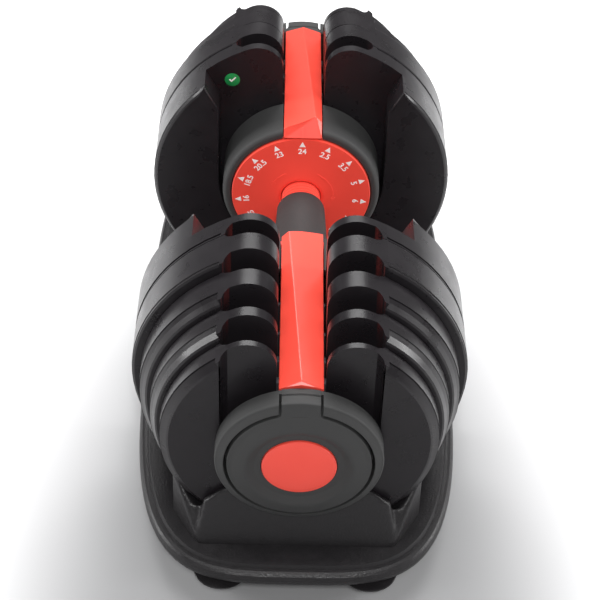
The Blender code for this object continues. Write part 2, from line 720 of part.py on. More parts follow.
def tray_end(end, parent):
    """Cradle, knob pedestal and side buttresses of one end of the tray."""
    floor = TRAY_FLOOR - AXIS_HEIGHT - MM
    cradle = block(end + "_cradle", (-CRADLE_HALF, CRADLE_SPAN[0], floor),
                   (CRADLE_HALF, CRADLE_SPAN[1], CRADLE_TOP), parent)
    pedestal = hull(end + "_pedestal", in_metres(PEDESTAL, 1.0) + in_metres(PEDESTAL, -1.0), parent)
    solids = [cradle, pedestal]
    for side, sign in SIDES.items():
        solids.append(hull(f"{end}_{side}_buttress", in_metres(BUTTRESS, sign), parent))
        place = (sign * FOOT_PLACE[0], FOOT_PLACE[1])
        solids.append(rod(f"{end}_{side}_leg", FOOT_RADIUS + LEG_MARGIN,
                          FOOT_HEIGHT + GAP - AXIS_HEIGHT, TRAY_FLOOR + MM - AXIS_HEIGHT,
                          place, parent))
    return solids


def in_metres(points, sign):
    """Corners given in millimetres, on the right for sign 1 and mirrored for sign -1."""
    return [(sign * x * MM, u * MM, z * MM) for x, u, z in points]


def plate_room(end, parent):
    """Stepped round space that the plates and the knob of one end sit in."""
    outer = KNOB_RADIUS + KNOB_CLEARANCE
    outline = [(0.0, ROOM_END), (outer, ROOM_END)]
    for plate in reversed(PLATES):
        radius = plate["radius"] * MM + CRADLE_CLEARANCE
        start = plate["face"] * MM + CRADLE_CLEARANCE
        outline += [(outer, start), (radius, start)]
        outer = radius
    outline += [(outer, ROOM_START), (0.0, ROOM_START)]
    return turned(end + "_plate_room", outline, parent, None, ARC_STEPS)


def tray_fittings(parent):
    """Four rubber feet and the bridge whose two fingers hold the dial locks open."""
    for end, outwards in OUTWARDS.items():
        for side, sign in SIDES.items():
            place = (sign * FOOT_PLACE[0], outwards * FOOT_PLACE[1])
            rod(f"{end}_{side}_foot", FOOT_RADIUS, 0.0, FOOT_HEIGHT, place, parent, RUBBER)
    low = TRAY_FLOOR + GAP
    bridge = block("tray_release_bridge", (-FINGER_HALF, -FINGER_SPAN[1], low),
                   (FINGER_HALF, FINGER_SPAN[1], low + BRIDGE_THICKNESS), parent, BLACK)
    for end, outwards in OUTWARDS.items():
        near, far = sorted((outwards * FINGER_SPAN[0], outwards * FINGER_SPAN[1]))
        finger = block(end + "_finger", (-FINGER_HALF, near, low + MM),
                       (FINGER_HALF, far, AXIS_HEIGHT + FINGER_TOP), parent)
        boolean(bridge, finger, "UNION")


# ---------------------------------------------------------------- assembly

def dumbbell_end(end, turn):
    """All pieces of one end of the dumbbell."""
    fixed = empty(end + "_end", (0.0, 0.0, AXIS_HEIGHT), turn)
    selector = empty(end + "_selector_axis", (0.0, 0.0, 0.0), 0.0, fixed)
    grip_collar(end, fixed)
    hub_housing(end, fixed)
    top_bar(end, fixed)
    bar_carrier(end, fixed)
    bar_screw(end, fixed)
    number_dial(end, selector)
    selector_sleeve(end, selector)
    end_knob(end, selector)
    for number, plate in enumerate(PLATES, 1):
        weight_plate(end, number, plate, fixed)
        if number < len(PLATES):
            selector_disc(end, number, plate, selector)
    lock(end, fixed)


def smooth_round_pieces():
    """Shade the pieces smooth and keep their edges sharp."""
    for piece in PARTS.objects:
        if piece.type == "MESH" and len(piece.data.polygons):
            piece.data.shade_smooth()
            piece.data.set_sharp_from_angle(angle=math.radians(35.0))


clear_scene()
PARTS = collection("adjustable_dumbbell")
CUTTERS = collection("cutters")
RED = finish("coral_red_plastic", (0.80, 0.07, 0.05), 0.38)
BLACK = finish("black_nylon", (0.022, 0.021, 0.023), 0.42)
PLATE_PLASTIC = finish("black_plate_plastic", (0.026, 0.025, 0.027), 0.45)
TRAY_PLASTIC = finish("textured_tray_plastic", (0.024, 0.024, 0.025), 0.6)
DISC_PLASTIC = finish("grey_disc_nylon", (0.10, 0.10, 0.11), 0.5)
RUBBER = finish("grip_rubber", (0.035, 0.030, 0.030), 0.8)
STEEL = finish("plated_steel", (0.55, 0.55, 0.56), 0.32, 1.0)
HANDLE_AXIS = empty("handle_axis", (0.0, 0.0, AXIS_HEIGHT), 0.0)
TRAY = empty("tray", (0.0, 0.0, 0.0), 0.0)

handle(HANDLE_AXIS)
for END, TURN in ENDS.items():
    dumbbell_end(END, TURN)
tray_shell(TRAY)
tray_fittings(TRAY)
smooth_round_pieces()
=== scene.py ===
"""Looks of an adjustable dumbbell that rests in its storage tray.

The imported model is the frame. Sizes here are in millimetres. Each end of the dumbbell is shaped
once in its own frame: x across, y outwards from the grip and z up from the handle's axis. The rear
end points along +Y, and the front end is the same shape turned half a turn about Z.
"""

from __future__ import annotations

import logging
import math
from dataclasses import dataclass
from enum import Enum
from typing import Callable, Iterable, Sequence

import bmesh
import bpy
from mathutils import Matrix, Vector

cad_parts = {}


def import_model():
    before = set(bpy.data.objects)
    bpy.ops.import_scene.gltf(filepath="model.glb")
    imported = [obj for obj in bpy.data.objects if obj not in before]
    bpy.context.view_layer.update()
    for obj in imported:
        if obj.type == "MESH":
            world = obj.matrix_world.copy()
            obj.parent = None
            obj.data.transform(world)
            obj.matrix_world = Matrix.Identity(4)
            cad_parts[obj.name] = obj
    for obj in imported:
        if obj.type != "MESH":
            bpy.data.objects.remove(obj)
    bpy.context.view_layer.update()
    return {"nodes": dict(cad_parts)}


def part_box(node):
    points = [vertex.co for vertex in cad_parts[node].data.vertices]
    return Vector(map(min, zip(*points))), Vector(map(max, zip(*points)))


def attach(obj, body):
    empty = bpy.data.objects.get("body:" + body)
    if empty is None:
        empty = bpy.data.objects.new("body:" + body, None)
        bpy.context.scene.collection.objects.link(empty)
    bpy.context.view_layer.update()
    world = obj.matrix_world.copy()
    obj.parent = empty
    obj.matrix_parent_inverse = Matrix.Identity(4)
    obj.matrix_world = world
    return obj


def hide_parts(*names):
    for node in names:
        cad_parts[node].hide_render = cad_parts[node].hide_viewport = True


LOG = logging.getLogger("dumbbell")
MM = 0.001
Flat = tuple[float, float]
Point = tuple[float, float, float]
Shape = bmesh.types.BMesh
Face = bmesh.types.BMFace
Corner = bmesh.types.BMVert
Tree = bpy.types.NodeTree
Socket = bpy.types.NodeSocket
Pattern = tuple[Socket, Socket, float]
QUARTER = math.pi / 2.0
ON_AXIS = 1e-9
TOUCH = 1e-3
NEAR = 0.05
SQUARE_EDGE = 1.2
ROUND = 128
FINE = 96


def axis_height() -> float:
    """Height of the handle's axis in metres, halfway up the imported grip."""
    low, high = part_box("rubber_grip")
    return (low.z + high.z) / 2.0


class Body(Enum):
    """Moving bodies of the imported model."""

    TRAY = "tray"
    DUMBBELL = "dumbbell"
    FRONT_SELECTOR = "front_selector"
    REAR_SELECTOR = "rear_selector"


class Operation(Enum):
    """Ways to combine two solids."""

    ADD = "UNION"
    CUT = "DIFFERENCE"


class End(Enum):
    """The two ends of the dumbbell."""

    FRONT = "front"
    REAR = "rear"

    def place(self) -> Matrix:
        """Matrix from this end's millimetre frame to the model's frame."""
        turn = math.pi if self is End.FRONT else 0.0
        lift = Matrix.Translation((0.0, 0.0, axis_height()))
        return lift @ Matrix.Rotation(turn, 4, "Z") @ Matrix.Scale(MM, 4)

    def selector(self) -> Body:
        """Body of this end's turning parts."""
        return Body.FRONT_SELECTOR if self is End.FRONT else Body.REAR_SELECTOR


# ---- finishes


def linear(code: str) -> tuple[float, float, float, float]:
    """Turn an sRGB hex colour into linear values.

    Args:
        code: Colour such as "#f0503f".

    Returns:
        Red, green, blue and an alpha of 1.
    """
    channels = [int(code[i:i + 2], 16) / 255.0 for i in (1, 3, 5)]
    values = [c / 12.92 if c <= 0.04045 else ((c + 0.055) / 1.055) ** 2.4 for c in channels]
    return (values[0], values[1], values[2], 1.0)


def fill(node: bpy.types.Node, inputs: dict[str | int, object]) -> None:
    """Link or set a node's inputs.

    Args:
        node: The node.
        inputs: Output socket to link, or value, for each input's name or number.
    """
    for name, value in inputs.items():
        if isinstance(value, Socket):
            node.id_data.links.new(value, node.inputs[name])
        else:
            node.inputs[name].default_value = value


def add_node(tree: Tree, kind: str, inputs: dict[str | int, object],
             **settings: object) -> bpy.types.Node:
    """Add a node to a material.

    Args:
        tree: The material's node tree.
        kind: Type of the shader node.
        inputs: Value, or output socket to link, for each input's name or number.
        **settings: The node's own properties.

    Returns:
        The new node.
    """
    made = tree.nodes.new("ShaderNode" + kind)
    for name, value in settings.items():
        setattr(made, name, value)
    fill(made, inputs)
    return made


@dataclass(frozen=True)
class Finish:
    """Surface whose tone and gloss follow one noise, over a fine relief."""

    name: str
    slot: str
    base: str
    tint: str
    roughness: float
    gloss_spread: float

    def pattern(self, tree: Tree, place: Socket) -> Pattern:
        """Add the noises of this kind of surface.

        Args:
            tree: The material's node tree.
            place: Where a point is on the object.

        Returns:
            Sockets of the patches and of the relief, and the relief's depth.
        """
        raise NotImplementedError

    def shading(self) -> dict[str, float]:
        """Shader values of this kind of surface, by the name of their input."""
        raise NotImplementedError

    def material(self) -> bpy.types.Material:
        """Build the material, or find it when it's there already.

        Returns:
            The material.
        """
        if self.name in bpy.data.materials:
            return bpy.data.materials[self.name]
        made = bpy.data.materials.new(self.name)
        made.use_nodes = True
        tree = made.node_tree
        place = add_node(tree, "TexCoord", {}).outputs["Object"]
        patches, relief, depth = self.pattern(tree, place)
        tone = add_node(tree, "Mix", {
            0: patches, 6: linear(self.base), 7: linear(self.tint)}, data_type="RGBA")
        gloss = add_node(tree, "MapRange", {
            "Value": patches, "From Min": 0.3, "From Max": 0.7,
            "To Min": self.roughness - self.gloss_spread,
            "To Max": self.roughness + self.gloss_spread})
        bump = add_node(tree, "Bump", {
            "Strength": 1.0, "Distance": depth * MM, "Height": relief})
        fill(tree.nodes["Principled BSDF"], {
            "Base Color": tone.outputs[2], "Roughness": gloss.outputs["Result"],
            "Normal": bump.outputs["Normal"], **self.shading()})
        return made


@dataclass(frozen=True)
class Moulded(Finish):
    """Plastic, rubber, ink or paper: broad faint patches over a fine grain."""

    grain: float
    grain_depth: float
    mottle: float
    ior: float = 1.5
    specular: float = 0.5

    def pattern(self, tree: Tree, place: Socket) -> Pattern:
        """Add the patches and the grain, as Finish.pattern says."""
        patches = add_node(tree, "TexNoise", {
            "Vector": place, "Scale": 1.0 / (self.mottle * MM), "Detail": 3.0, "Roughness": 0.55})
        skin = add_node(tree, "TexNoise", {
            "Vector": place, "Scale": 1.0 / (self.grain * MM), "Detail": 2.0})
        return patches.outputs["Fac"], skin.outputs["Fac"], self.grain_depth

    def shading(self) -> dict[str, float]:
        """Refraction and strength of the highlights."""
        return {"IOR": self.ior, "Specular IOR Level": self.specular}


@dataclass(frozen=True)
class Steel(Finish):
    """Steel: drawn or turned lines that break up its gloss."""

    line: float
    line_depth: float
    stretch: float

    def pattern(self, tree: Tree, place: Socket) -> Pattern:
        """Add the lines, as Finish.pattern says."""
        drawn = add_node(tree, "Mapping", {
            "Vector": place, "Scale": (1.0, self.stretch, 1.0)})
        lines = add_node(tree, "TexNoise", {
            "Vector": drawn.outputs["Vector"], "Scale": 1.0 / (self.line * MM), "Detail": 3.0})
        return lines.outputs["Fac"], lines.outputs["Fac"], self.line_depth

    def shading(self) -> dict[str, float]:
        """Metal all over."""
        return {"Metallic": 1.0}


# Moulded ABS, satin: broad highlights, and a colour that stays saturated in the shade.
CORAL_ABS = Moulded("coral_red_abs", "coral_red_plastic", "#f75344", "#f24a3c", 0.36, 0.04,
                    0.6, 0.006, 30.0, specular=0.45)
# Glass-filled nylon, satin: dark, with soft highlights along its rounded edges.
BLACK_NYLON = Moulded("black_nylon", "black_nylon", "#1b191a", "#211f20", 0.27, 0.04,
                      0.8, 0.008, 12.0, specular=0.34)
# Satin moulded shell of the plates: a touch purple where it catches the light.
PLATE_SHELL = Moulded("plate_shell_plastic", "plate_plastic", "#1a181a", "#211e21", 0.3, 0.05,
                      1.0, 0.03, 14.0, specular=0.32)
# Pebbled polypropylene. The real pebble is about half a millimetre, drawn at 1.3 mm to show.
TRAY_PEBBLE = Moulded("pebbled_tray_polypropylene", "tray_plastic", "#1b1a1b", "#252325", 0.4,
                      0.06, 1.3, 0.25, 5.0, specular=0.34)
# Natural nylon of the selector discs, dull grey.
DISC_NYLON = Moulded("grey_disc_nylon", "disc_nylon", "#5a5a5e", "#66666a", 0.5, 0.05,
                     0.7, 0.01, 10.0)
# Matt moulded rubber: no clear highlight and a warm dark grey.
GRIP_RUBBER = Moulded("matt_grip_rubber", "grip_rubber", "#2b2727", "#332f2f", 0.68, 0.06,
                      0.9, 0.05, 8.0, ior=1.45)
# White pad-printing ink.
WHITE_INK = Moulded("white_dial_ink", "coral_red_plastic", "#fffdfb", "#f8f2ef", 0.5, 0.05,
                    0.5, 0.004, 4.0)
# Coated paper of the round inspection sticker.
GREEN_PAPER = Moulded("green_sticker_paper", "plate_plastic", "#148a45", "#1c9850", 0.42, 0.05,
                      0.8, 0.01, 6.0)
# Zinc plated steel tube, wheel, screws and lock parts.
ZINC_PLATE = Steel("zinc_plated_steel", "plated_steel", "#b9bbbf", "#a9abb0", 0.3, 0.07,
                   0.5, 0.004, 0.15)
# Oiled raw steel sheets of the weight cores.
OILED_STEEL = Steel("oiled_core_steel", "plate_steel", "#5b5a5c", "#6b6a6a", 0.45, 0.1,
                    1.2, 0.02, 0.4)


# ---- shaping


def polygon(shape: Shape, points: Iterable[Point]) -> Face:
    """Add one flat face through points.

    Args:
        shape: Mesh to add to.
        points: Corners in order.

    Returns:
        The new face.
    """
    return shape.faces.new([shape.verts.new(point) for point in points])


def grow(shape: Shape, cap: Face,
         place: Callable[[Corner], Point]) -> Face:
    """Extrude a cap and put each of its new corners in place.

    Args:
        shape: Mesh to work on.
        cap: Face to extrude.
        place: Gives a new corner's position.

    Returns:
        The new cap.
    """
    made = bmesh.ops.extrude_face_region(shape, geom=[cap])["geom"]
    for corner in [part for part in made if isinstance(part, Corner)]:
        corner.co = place(corner)
    return next(part for part in made if isinstance(part, Face))


def outward(shape: Shape) -> Shape:
    """Turn a closed mesh's faces outwards and return it."""
    bmesh.ops.recalc_face_normals(shape, faces=shape.faces)
    return shape


def lofted(rings: Sequence[Sequence[Point]]) -> Shape:
    """Closed solid through rings of equal length.

    Args:
        rings: Rings of points, each in the same order.

    Returns:
        The solid as a new mesh.
    """
    shape = bmesh.new()
    number = shape.verts.layers.int.new("number")
    cap = polygon(shape, rings[0])
    for index, corner in enumerate(cap.verts):
        corner[number] = index
    for ring in rings[1:]:
        cap = grow(shape, cap, lambda corner, ring=ring: ring[corner[number]])
    return outward(shape)


def slab(outline: Sequence[Flat], outs: Iterable[float]) -> Shape:
    """Solid with one outline, across and up, at each of the distances outwards."""
    return lofted([[(x, out, z) for x, z in outline] for out in outs])


def turned(profile: Sequence[Flat], steps: int = ROUND) -> Shape:
    """Spin a (radius, distance outwards) profile about the handle's axis.

    Args:
        profile: Points in order; a profile that starts and ends on the axis stays open there.
        steps: Number of sides.

    Returns:
        The closed solid as a new mesh.
    """
    shape = bmesh.new()
    corners = [shape.verts.new((radius, out, 0.0)) for radius, out in profile]
    pairs = list(zip(corners, corners[1:]))
    if profile[0][0] > 0.0:
        pairs.append((corners[-1], corners[0]))
    edges = [shape.edges.new(pair) for pair in pairs]
    bmesh.ops.spin(shape, geom=corners + edges, cent=(0.0, 0.0, 0.0), axis=(0.0, 1.0, 0.0),
                   angle=2.0 * math.pi, steps=steps, use_merge=True)
    bmesh.ops.remove_doubles(shape, verts=shape.verts, dist=0.0005)
    return outward(shape)


def arc(radius: float, start: float, end: float, steps: int,
        centre: Flat = (0.0, 0.0)) -> list[Flat]:
    """Points along an arc.

    Args:
        radius: Its radius.
        start: Angle of its first point, clockwise from the second axis.
        end: Angle of its last point.
        steps: Number of chords.
        centre: Its centre.

    Returns:
        The points in order.
    """
    angles = [start + (end - start) * i / steps for i in range(steps + 1)]
    across, up = centre
    return [(across + radius * math.sin(a), up + radius * math.cos(a)) for a in angles]


def mirrored(half: Sequence[Flat]) -> list[Flat]:
    """Close a right half outline, from the bottom to the top, with its mirror image."""
    return list(half) + [(-x, z) for x, z in reversed(half) if abs(x) > ON_AXIS]


def hull(points: Iterable[Point]) -> Shape:
    """Convex solid round points.

    Args:
        points: Points that it reaches; those inside it are dropped.

    Returns:
        The solid as a new mesh.
    """
    shape = bmesh.new()
    for point in points:
        shape.verts.new(point)
    found = bmesh.ops.convex_hull(shape, input=shape.verts)["geom_interior"]
    inner = {part for part in found if isinstance(part, Corner)}
    bmesh.ops.delete(shape, geom=list(inner), context="VERTS")
    return outward(shape)


def block(low: Point, high: Point) -> Shape:
    """Rectangular block.

    Args:
        low: Its lowest corner.
        high: Its highest corner.

    Returns:
        The block as a new mesh.
    """
    shape = bmesh.new()
    bmesh.ops.create_cube(shape, size=1.0)
    bmesh.ops.scale(shape, vec=Vector(high) - Vector(low), verts=shape.verts)
    bmesh.ops.translate(shape, vec=(Vector(high) + Vector(low)) / 2.0, verts=shape.verts)
    return shape


def joined(shapes: Sequence[Shape]) -> Shape:
    """Put several solids into one mesh.

    Args:
        shapes: The solids; all but the first are freed.

    Returns:
        The first one's mesh, with the others in it.
    """
    first = shapes[0]
    for other in shapes[1:]:
        carrier = bpy.data.meshes.new("carrier")
        other.to_mesh(carrier)
        other.free()
        first.from_mesh(carrier)
        bpy.data.meshes.remove(carrier)
    return first


def drafted(name: str, shape: Shape) -> bpy.types.Object:
    """Put a shape into the scene.

    Args:
        name: Name of the object.
        shape: Its mesh; freed.

    Returns:
        The object.
    """
    mesh = bpy.data.meshes.new(name)
    shape.to_mesh(mesh)
    shape.free()
    made = bpy.data.objects.new(name, mesh)
    bpy.context.scene.collection.objects.link(made)
    return made


def combined(base: Shape, other: Shape,
             operation: Operation) -> Shape:
    """Join two solids, or cut the first with the second.

    Args:
        base: Solid to keep; freed.
        other: Solid to add or to cut with; freed.
        operation: Whether to add or to cut.

    Returns:
        The result as a new mesh.
    """
    first = drafted("first", base)
    second = drafted("second", other)
    change = first.modifiers.new("change", "BOOLEAN")
    change.operation = operation.value
    change.solver = "EXACT"
    change.object = second
    result = applied(first)
    bpy.data.objects.remove(second, do_unlink=True)
    return result


def applied(draft: bpy.types.Object) -> Shape:
    """Read an object's shape with its modifiers applied.

    Args:
        draft: The object; removed.

    Returns:
        The shape as a new mesh.
    """
    bpy.context.view_layer.update()
    shape = bmesh.new()
    shape.from_object(draft, bpy.context.evaluated_depsgraph_get())
    bpy.data.objects.remove(draft, do_unlink=True)
    return shape


def written(text: str, size: float, thickness: float) -> Shape:
    """Lettering as a thin solid, centred on the origin and facing along z.

    Args:
        text: What it says.
        size: Height of a line.
        thickness: Half of the solid's thickness.

    Returns:
        The lettering as a new mesh.
    """
    curve = bpy.data.curves.new("lettering", "FONT")
    curve.body = text
    curve.size = size
    curve.offset = size * 0.018
    curve.extrude = thickness
    curve.resolution_u = 4
    curve.align_x = "CENTER"
    curve.align_y = "CENTER"
    drawn = bpy.data.objects.new("lettering", curve)
    bpy.context.scene.collection.objects.link(drawn)
    bpy.context.view_layer.update()
    graph = bpy.context.evaluated_depsgraph_get()
    mesh = bpy.data.meshes.new_from_object(drawn.evaluated_get(graph))
    bpy.data.objects.remove(drawn, do_unlink=True)
    shape = bmesh.new()
    shape.from_mesh(mesh)
    bpy.data.meshes.remove(mesh)
    bmesh.ops.remove_doubles(shape, verts=shape.verts, dist=1e-4)
    return shape


@dataclass(frozen=True)
class Edges:
    """How a piece's edges are finished."""

    rounding: float = 0.0
    segments: int = 2
    sharp: float = 32.0
    weighted: bool = True


def install(name: str, shape: Shape, place: Matrix, finish: Finish, body: Body,
            nodes: Sequence[str] = (), edges: Edges = Edges()) -> bpy.types.Object:
    """Turn a shape into a finished piece of the model.

    Args:
        name: Name of the piece.
        shape: Its mesh in the frame that place is for; freed.
        place: Matrix to the model's frame.
        finish: Its material.
        body: Body that it moves with.
        nodes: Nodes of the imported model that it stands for.
        edges: How its edges are finished.

    Returns:
        The piece.
    """
    bmesh.ops.transform(shape, matrix=place, verts=shape.verts)
    made = drafted(name, shape)
    made.data.shade_smooth()
    made.data.set_sharp_from_angle(angle=math.radians(edges.sharp))
    made.data.materials.append(finish.material())
    if edges.rounding > 0.0:
        bevel = made.modifiers.new("rounding", "BEVEL")
        bevel.width = edges.rounding * MM
        bevel.segments = edges.segments
        bevel.limit_method = "ANGLE"
        bevel.angle_limit = math.radians(edges.sharp)
        bevel.use_clamp_overlap = True
    if edges.weighted:
        shading = made.modifiers.new("shading", "WEIGHTED_NORMAL")
        shading.keep_sharp = True
    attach(made, body.value)
    if nodes:
        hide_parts(*nodes)
    LOG.info("%s: %d faces, on %s", name, len(made.data.polygons), body.value)
    return made


# ---- weight plates


@dataclass(frozen=True)
class WeightPlate:
    """One slotted plate: a web with two ears between thicker C-shaped cheeks.

    Its cheek, web, face and groove are distances outwards. The innermost plate's inner recess is
    wide, to take the hub.
    """

    number: int
    radius: float
    cheek: float
    web: tuple[float, float]
    face: float
    groove: float
    taper: float
    slot_half: float = 14.4
    ear: float = 17.0
    recess_half: float = 42.6
    draft: float = 4.1
    square_end: float = 49.3
    groove_depth: float = 1.3
    groove_width: float = 0.75
    groove_side: float = 0.12
    inner_groove: float = 2.6
    lip: float = 0.5
    long_land: float = 3.0
    bend: tuple[float, float] = (0.35, 0.42)
    square_land: float = 3.0
    lead: tuple[float, ...] = (0.08, 0.22, 0.45)
    draft_curve: float = 2.4
    edge_break: float = 0.6
    wide_half: float = 58.0
    wide_shoulder: float = 62.0
    wide_mouth: float = 67.2
    ear_edge: float = 0.9
    ear_zone: float = 40.0
    hook: tuple[Point, Point] = ((-5.0, -1.0, -32.4), (5.0, 3.0, -27.0))

    def outline(self) -> list[Flat]:
        """Outline of the slab, with its two ears and its slot.

        Returns:
            Its corners, across and up.
        """
        across = self.slot_half + self.ear
        up = math.sqrt((self.radius - self.ear) ** 2 - across ** 2)
        lean = math.atan2(across, up)
        stops = [self.square_end + 0.5, self.square_end, self.recess_half]
        if self.number == 1:
            stops.insert(0, self.wide_mouth)
        angles = [math.asin(stop / self.radius) for stop in stops]
        chord = math.radians(5.2)
        rim = arc(self.radius, math.pi, angles[0], 34)
        for start, end in zip(angles, angles[1:]):
            steps = max(1, round((start - end) / chord))
            rim += arc(self.radius, start, end, steps)[1:]
        rim += arc(self.radius, angles[-1], lean, 3)[1:]
        ear = arc(self.ear, lean, -QUARTER, 12, (across, up))[1:]
        slot = arc(self.slot_half, QUARTER, math.pi, 8)
        return mirrored(rim + ear + slot)

    def wide(self, outer: bool) -> bool:
        """Whether a side has the wide recess."""
        return self.number == 1 and not outer

    def recess_width(self, outer: bool) -> Flat:
        """Half width of a side's recess round the axis and where it meets the rim."""
        if self.wide(outer):
            return (self.wide_half, self.wide_mouth)
        return (self.recess_half, self.recess_half)

    def split(self, cap: Face, outer: bool) -> Face:
        """Divide a side of the slab along the recess.

        Args:
            cap: Side of the slab.
            outer: Whether it's the outer side.

        Returns:
            The C-shaped face outside the recess.
        """
        out = self.web[1] if outer else self.web[0]
        half, mouth = self.recess_width(outer)
        top = math.sqrt(self.radius ** 2 - mouth ** 2)
        ends = [min(cap.verts, key=lambda v, x=x: (v.co - Vector((x, out, top))).length)
                for x in (-mouth, mouth)]
        side = arc(half, math.pi, QUARTER, 14)
        if self.wide(outer):
            side.append((half, self.wide_shoulder))
        edge = [(-x, z) for x, z in reversed(side)] + side[1:]
        other, _ = bmesh.utils.face_split(cap, *ends, coords=[(x, out, z) for x, z in edge])
        return min((cap, other), key=lambda face: min(v.co.z for v in face.verts))

    def stages(self, outer: bool) -> list[tuple[float, float, float]]:
        """Steps in which a side's cheek is raised.

        Args:
            outer: Whether it's the outer side.

        Returns:
            Distance outwards, draft of the recess and inset of the rim for each step.
        """
        start, end = (self.web[1], self.face) if outer else (self.web[0], self.cheek)
        way = 1.0 if outer else -1.0
        depth = abs(end - start)
        if outer or self.number == 1:
            line = abs((self.groove if outer else self.cheek + self.inner_groove) - start)
            taper = self.taper if outer else self.inner_groove
            past = line + self.groove_width
            after = past + self.groove_side
            rim = [(line, 0.0), (line + self.groove_side, self.groove_depth),
                   (past, self.groove_depth), (after, self.lip)]
            if depth - after > self.long_land:
                bend, slack = self.bend
                rim.append((after + (depth - after) * bend, self.lip + (taper - 1.4) * slack))
            rim += [(depth - 0.7, max(self.lip, taper - 1.2)), (depth, taper)]
        else:
            rim = [(depth - 1.0, 0.0), (depth - 0.35, 0.25), (depth, 0.9)]
        before = rim[0][0] - 0.25
        lead = [share * depth for share in self.lead if share * depth < before]
        widest = 0.0 if self.wide(outer) else self.draft
        found = []
        for far, inset in [(far, 0.0) for far in lead] + rim:
            draft = widest * (1.0 - (1.0 - min(1.0, far / depth)) ** self.draft_curve)
            if far > depth - 0.1:
                draft += self.edge_break
            found.append((start + way * far, draft, inset))
        return found

    def raised(self, rest: Vector, step: tuple[float, float, float], outer: bool) -> Point:
        """Where a corner of the cheek goes at one step.

        Args:
            rest: Its place on the web.
            step: The step, as stages() gives it.
            outer: Whether it's on the outer side.

        Returns:
            Its new place.
        """
        x, _, z = rest
        out, draft, inset = step
        half, mouth = self.recess_width(outer)
        square_end = mouth + self.square_land if self.wide(outer) else self.square_end
        side = math.copysign(1.0, x)
        if math.hypot(x, z) > self.radius - 0.02:
            if z > 0.0 and abs(x) < mouth + NEAR:
                x = side * (mouth + draft)
                return (x, out, math.sqrt(self.radius ** 2 - x * x))
            if z > 0.0 and abs(x) < square_end + NEAR:
                return (x, out, z)
            scale = 1.0 - inset / self.radius
            return (x * scale, out, z * scale)
        if z >= 0.0:
            return (x + side * draft, out, z)
        scale = 1.0 + draft / half
        return (x * scale, out, z * scale)

    def cheeks(self, shape: Shape, cap: Face, outer: bool) -> None:
        """Raise the C-shaped cheek of one side, with its groove and its rounded edges.

        Args:
            shape: Mesh to work on.
            cap: C-shaped face of the web.
            outer: Whether it's on the outer side.
        """
        rest = shape.verts.layers.float_vector.get("rest")
        for corner in cap.verts:
            corner[rest] = corner.co
        for step in self.stages(outer):
            cap = grow(shape, cap, lambda corner, step=step: self.raised(corner[rest], step, outer))

    def soften(self, shape: Shape) -> None:
        """Round the edges of the ears and of the slot.

        Args:
            shape: The plate; changed.
        """
        chosen = []
        for edge in shape.edges:
            ends = [corner.co for corner in edge.verts]
            on_web = any(all(abs(p.y - out) < TOUCH for p in ends) for out in self.web)
            square = len(edge.link_faces) == 2 and edge.calc_face_angle() >= SQUARE_EDGE
            middle = (ends[0] + ends[1]) / 2.0
            in_slot = abs(middle.x) < self.slot_half + 2.0 * NEAR
            reach = math.hypot(middle.x, middle.z)
            on_ear = reach > self.radius - self.ear_zone and abs(middle.x) < self.ear_zone
            above = middle.z > -self.slot_half - 1.0
            if on_web and square and above and (in_slot or on_ear):
                chosen.append(edge)
        bmesh.ops.bevel(shape, geom=chosen, offset=self.ear_edge, segments=3, profile=0.5,
                        affect="EDGES", clamp_overlap=True, material=-1)

    def shape(self) -> Shape:
        """Build the whole plate.

        Returns:
            The plate in its end's frame.
        """
        shape = bmesh.new()
        shape.verts.layers.float_vector.new("rest")
        inner = polygon(shape, [(x, self.web[0], z) for x, z in self.outline()])
        outer = grow(shape, inner, lambda corner: (corner.co.x, self.web[1], corner.co.z))
        self.cheeks(shape, self.split(outer, True), True)
        self.cheeks(shape, self.split(inner, False), False)
        outward(shape)
        self.soften(shape)
        hook = block(*[(x, self.web[1] + out, z) for x, out, z in self.hook])
        return joined([shape, hook])

    def build(self, end: End) -> None:
        """Make the plate of one end."""
        name = f"{end.value}_plate_{self.number}"
        install(name + "_shell", self.shape(), end.place(), PLATE_SHELL, Body.DUMBBELL, [name],
                Edges(sharp=28.0))


# ---- dial, hub and bar


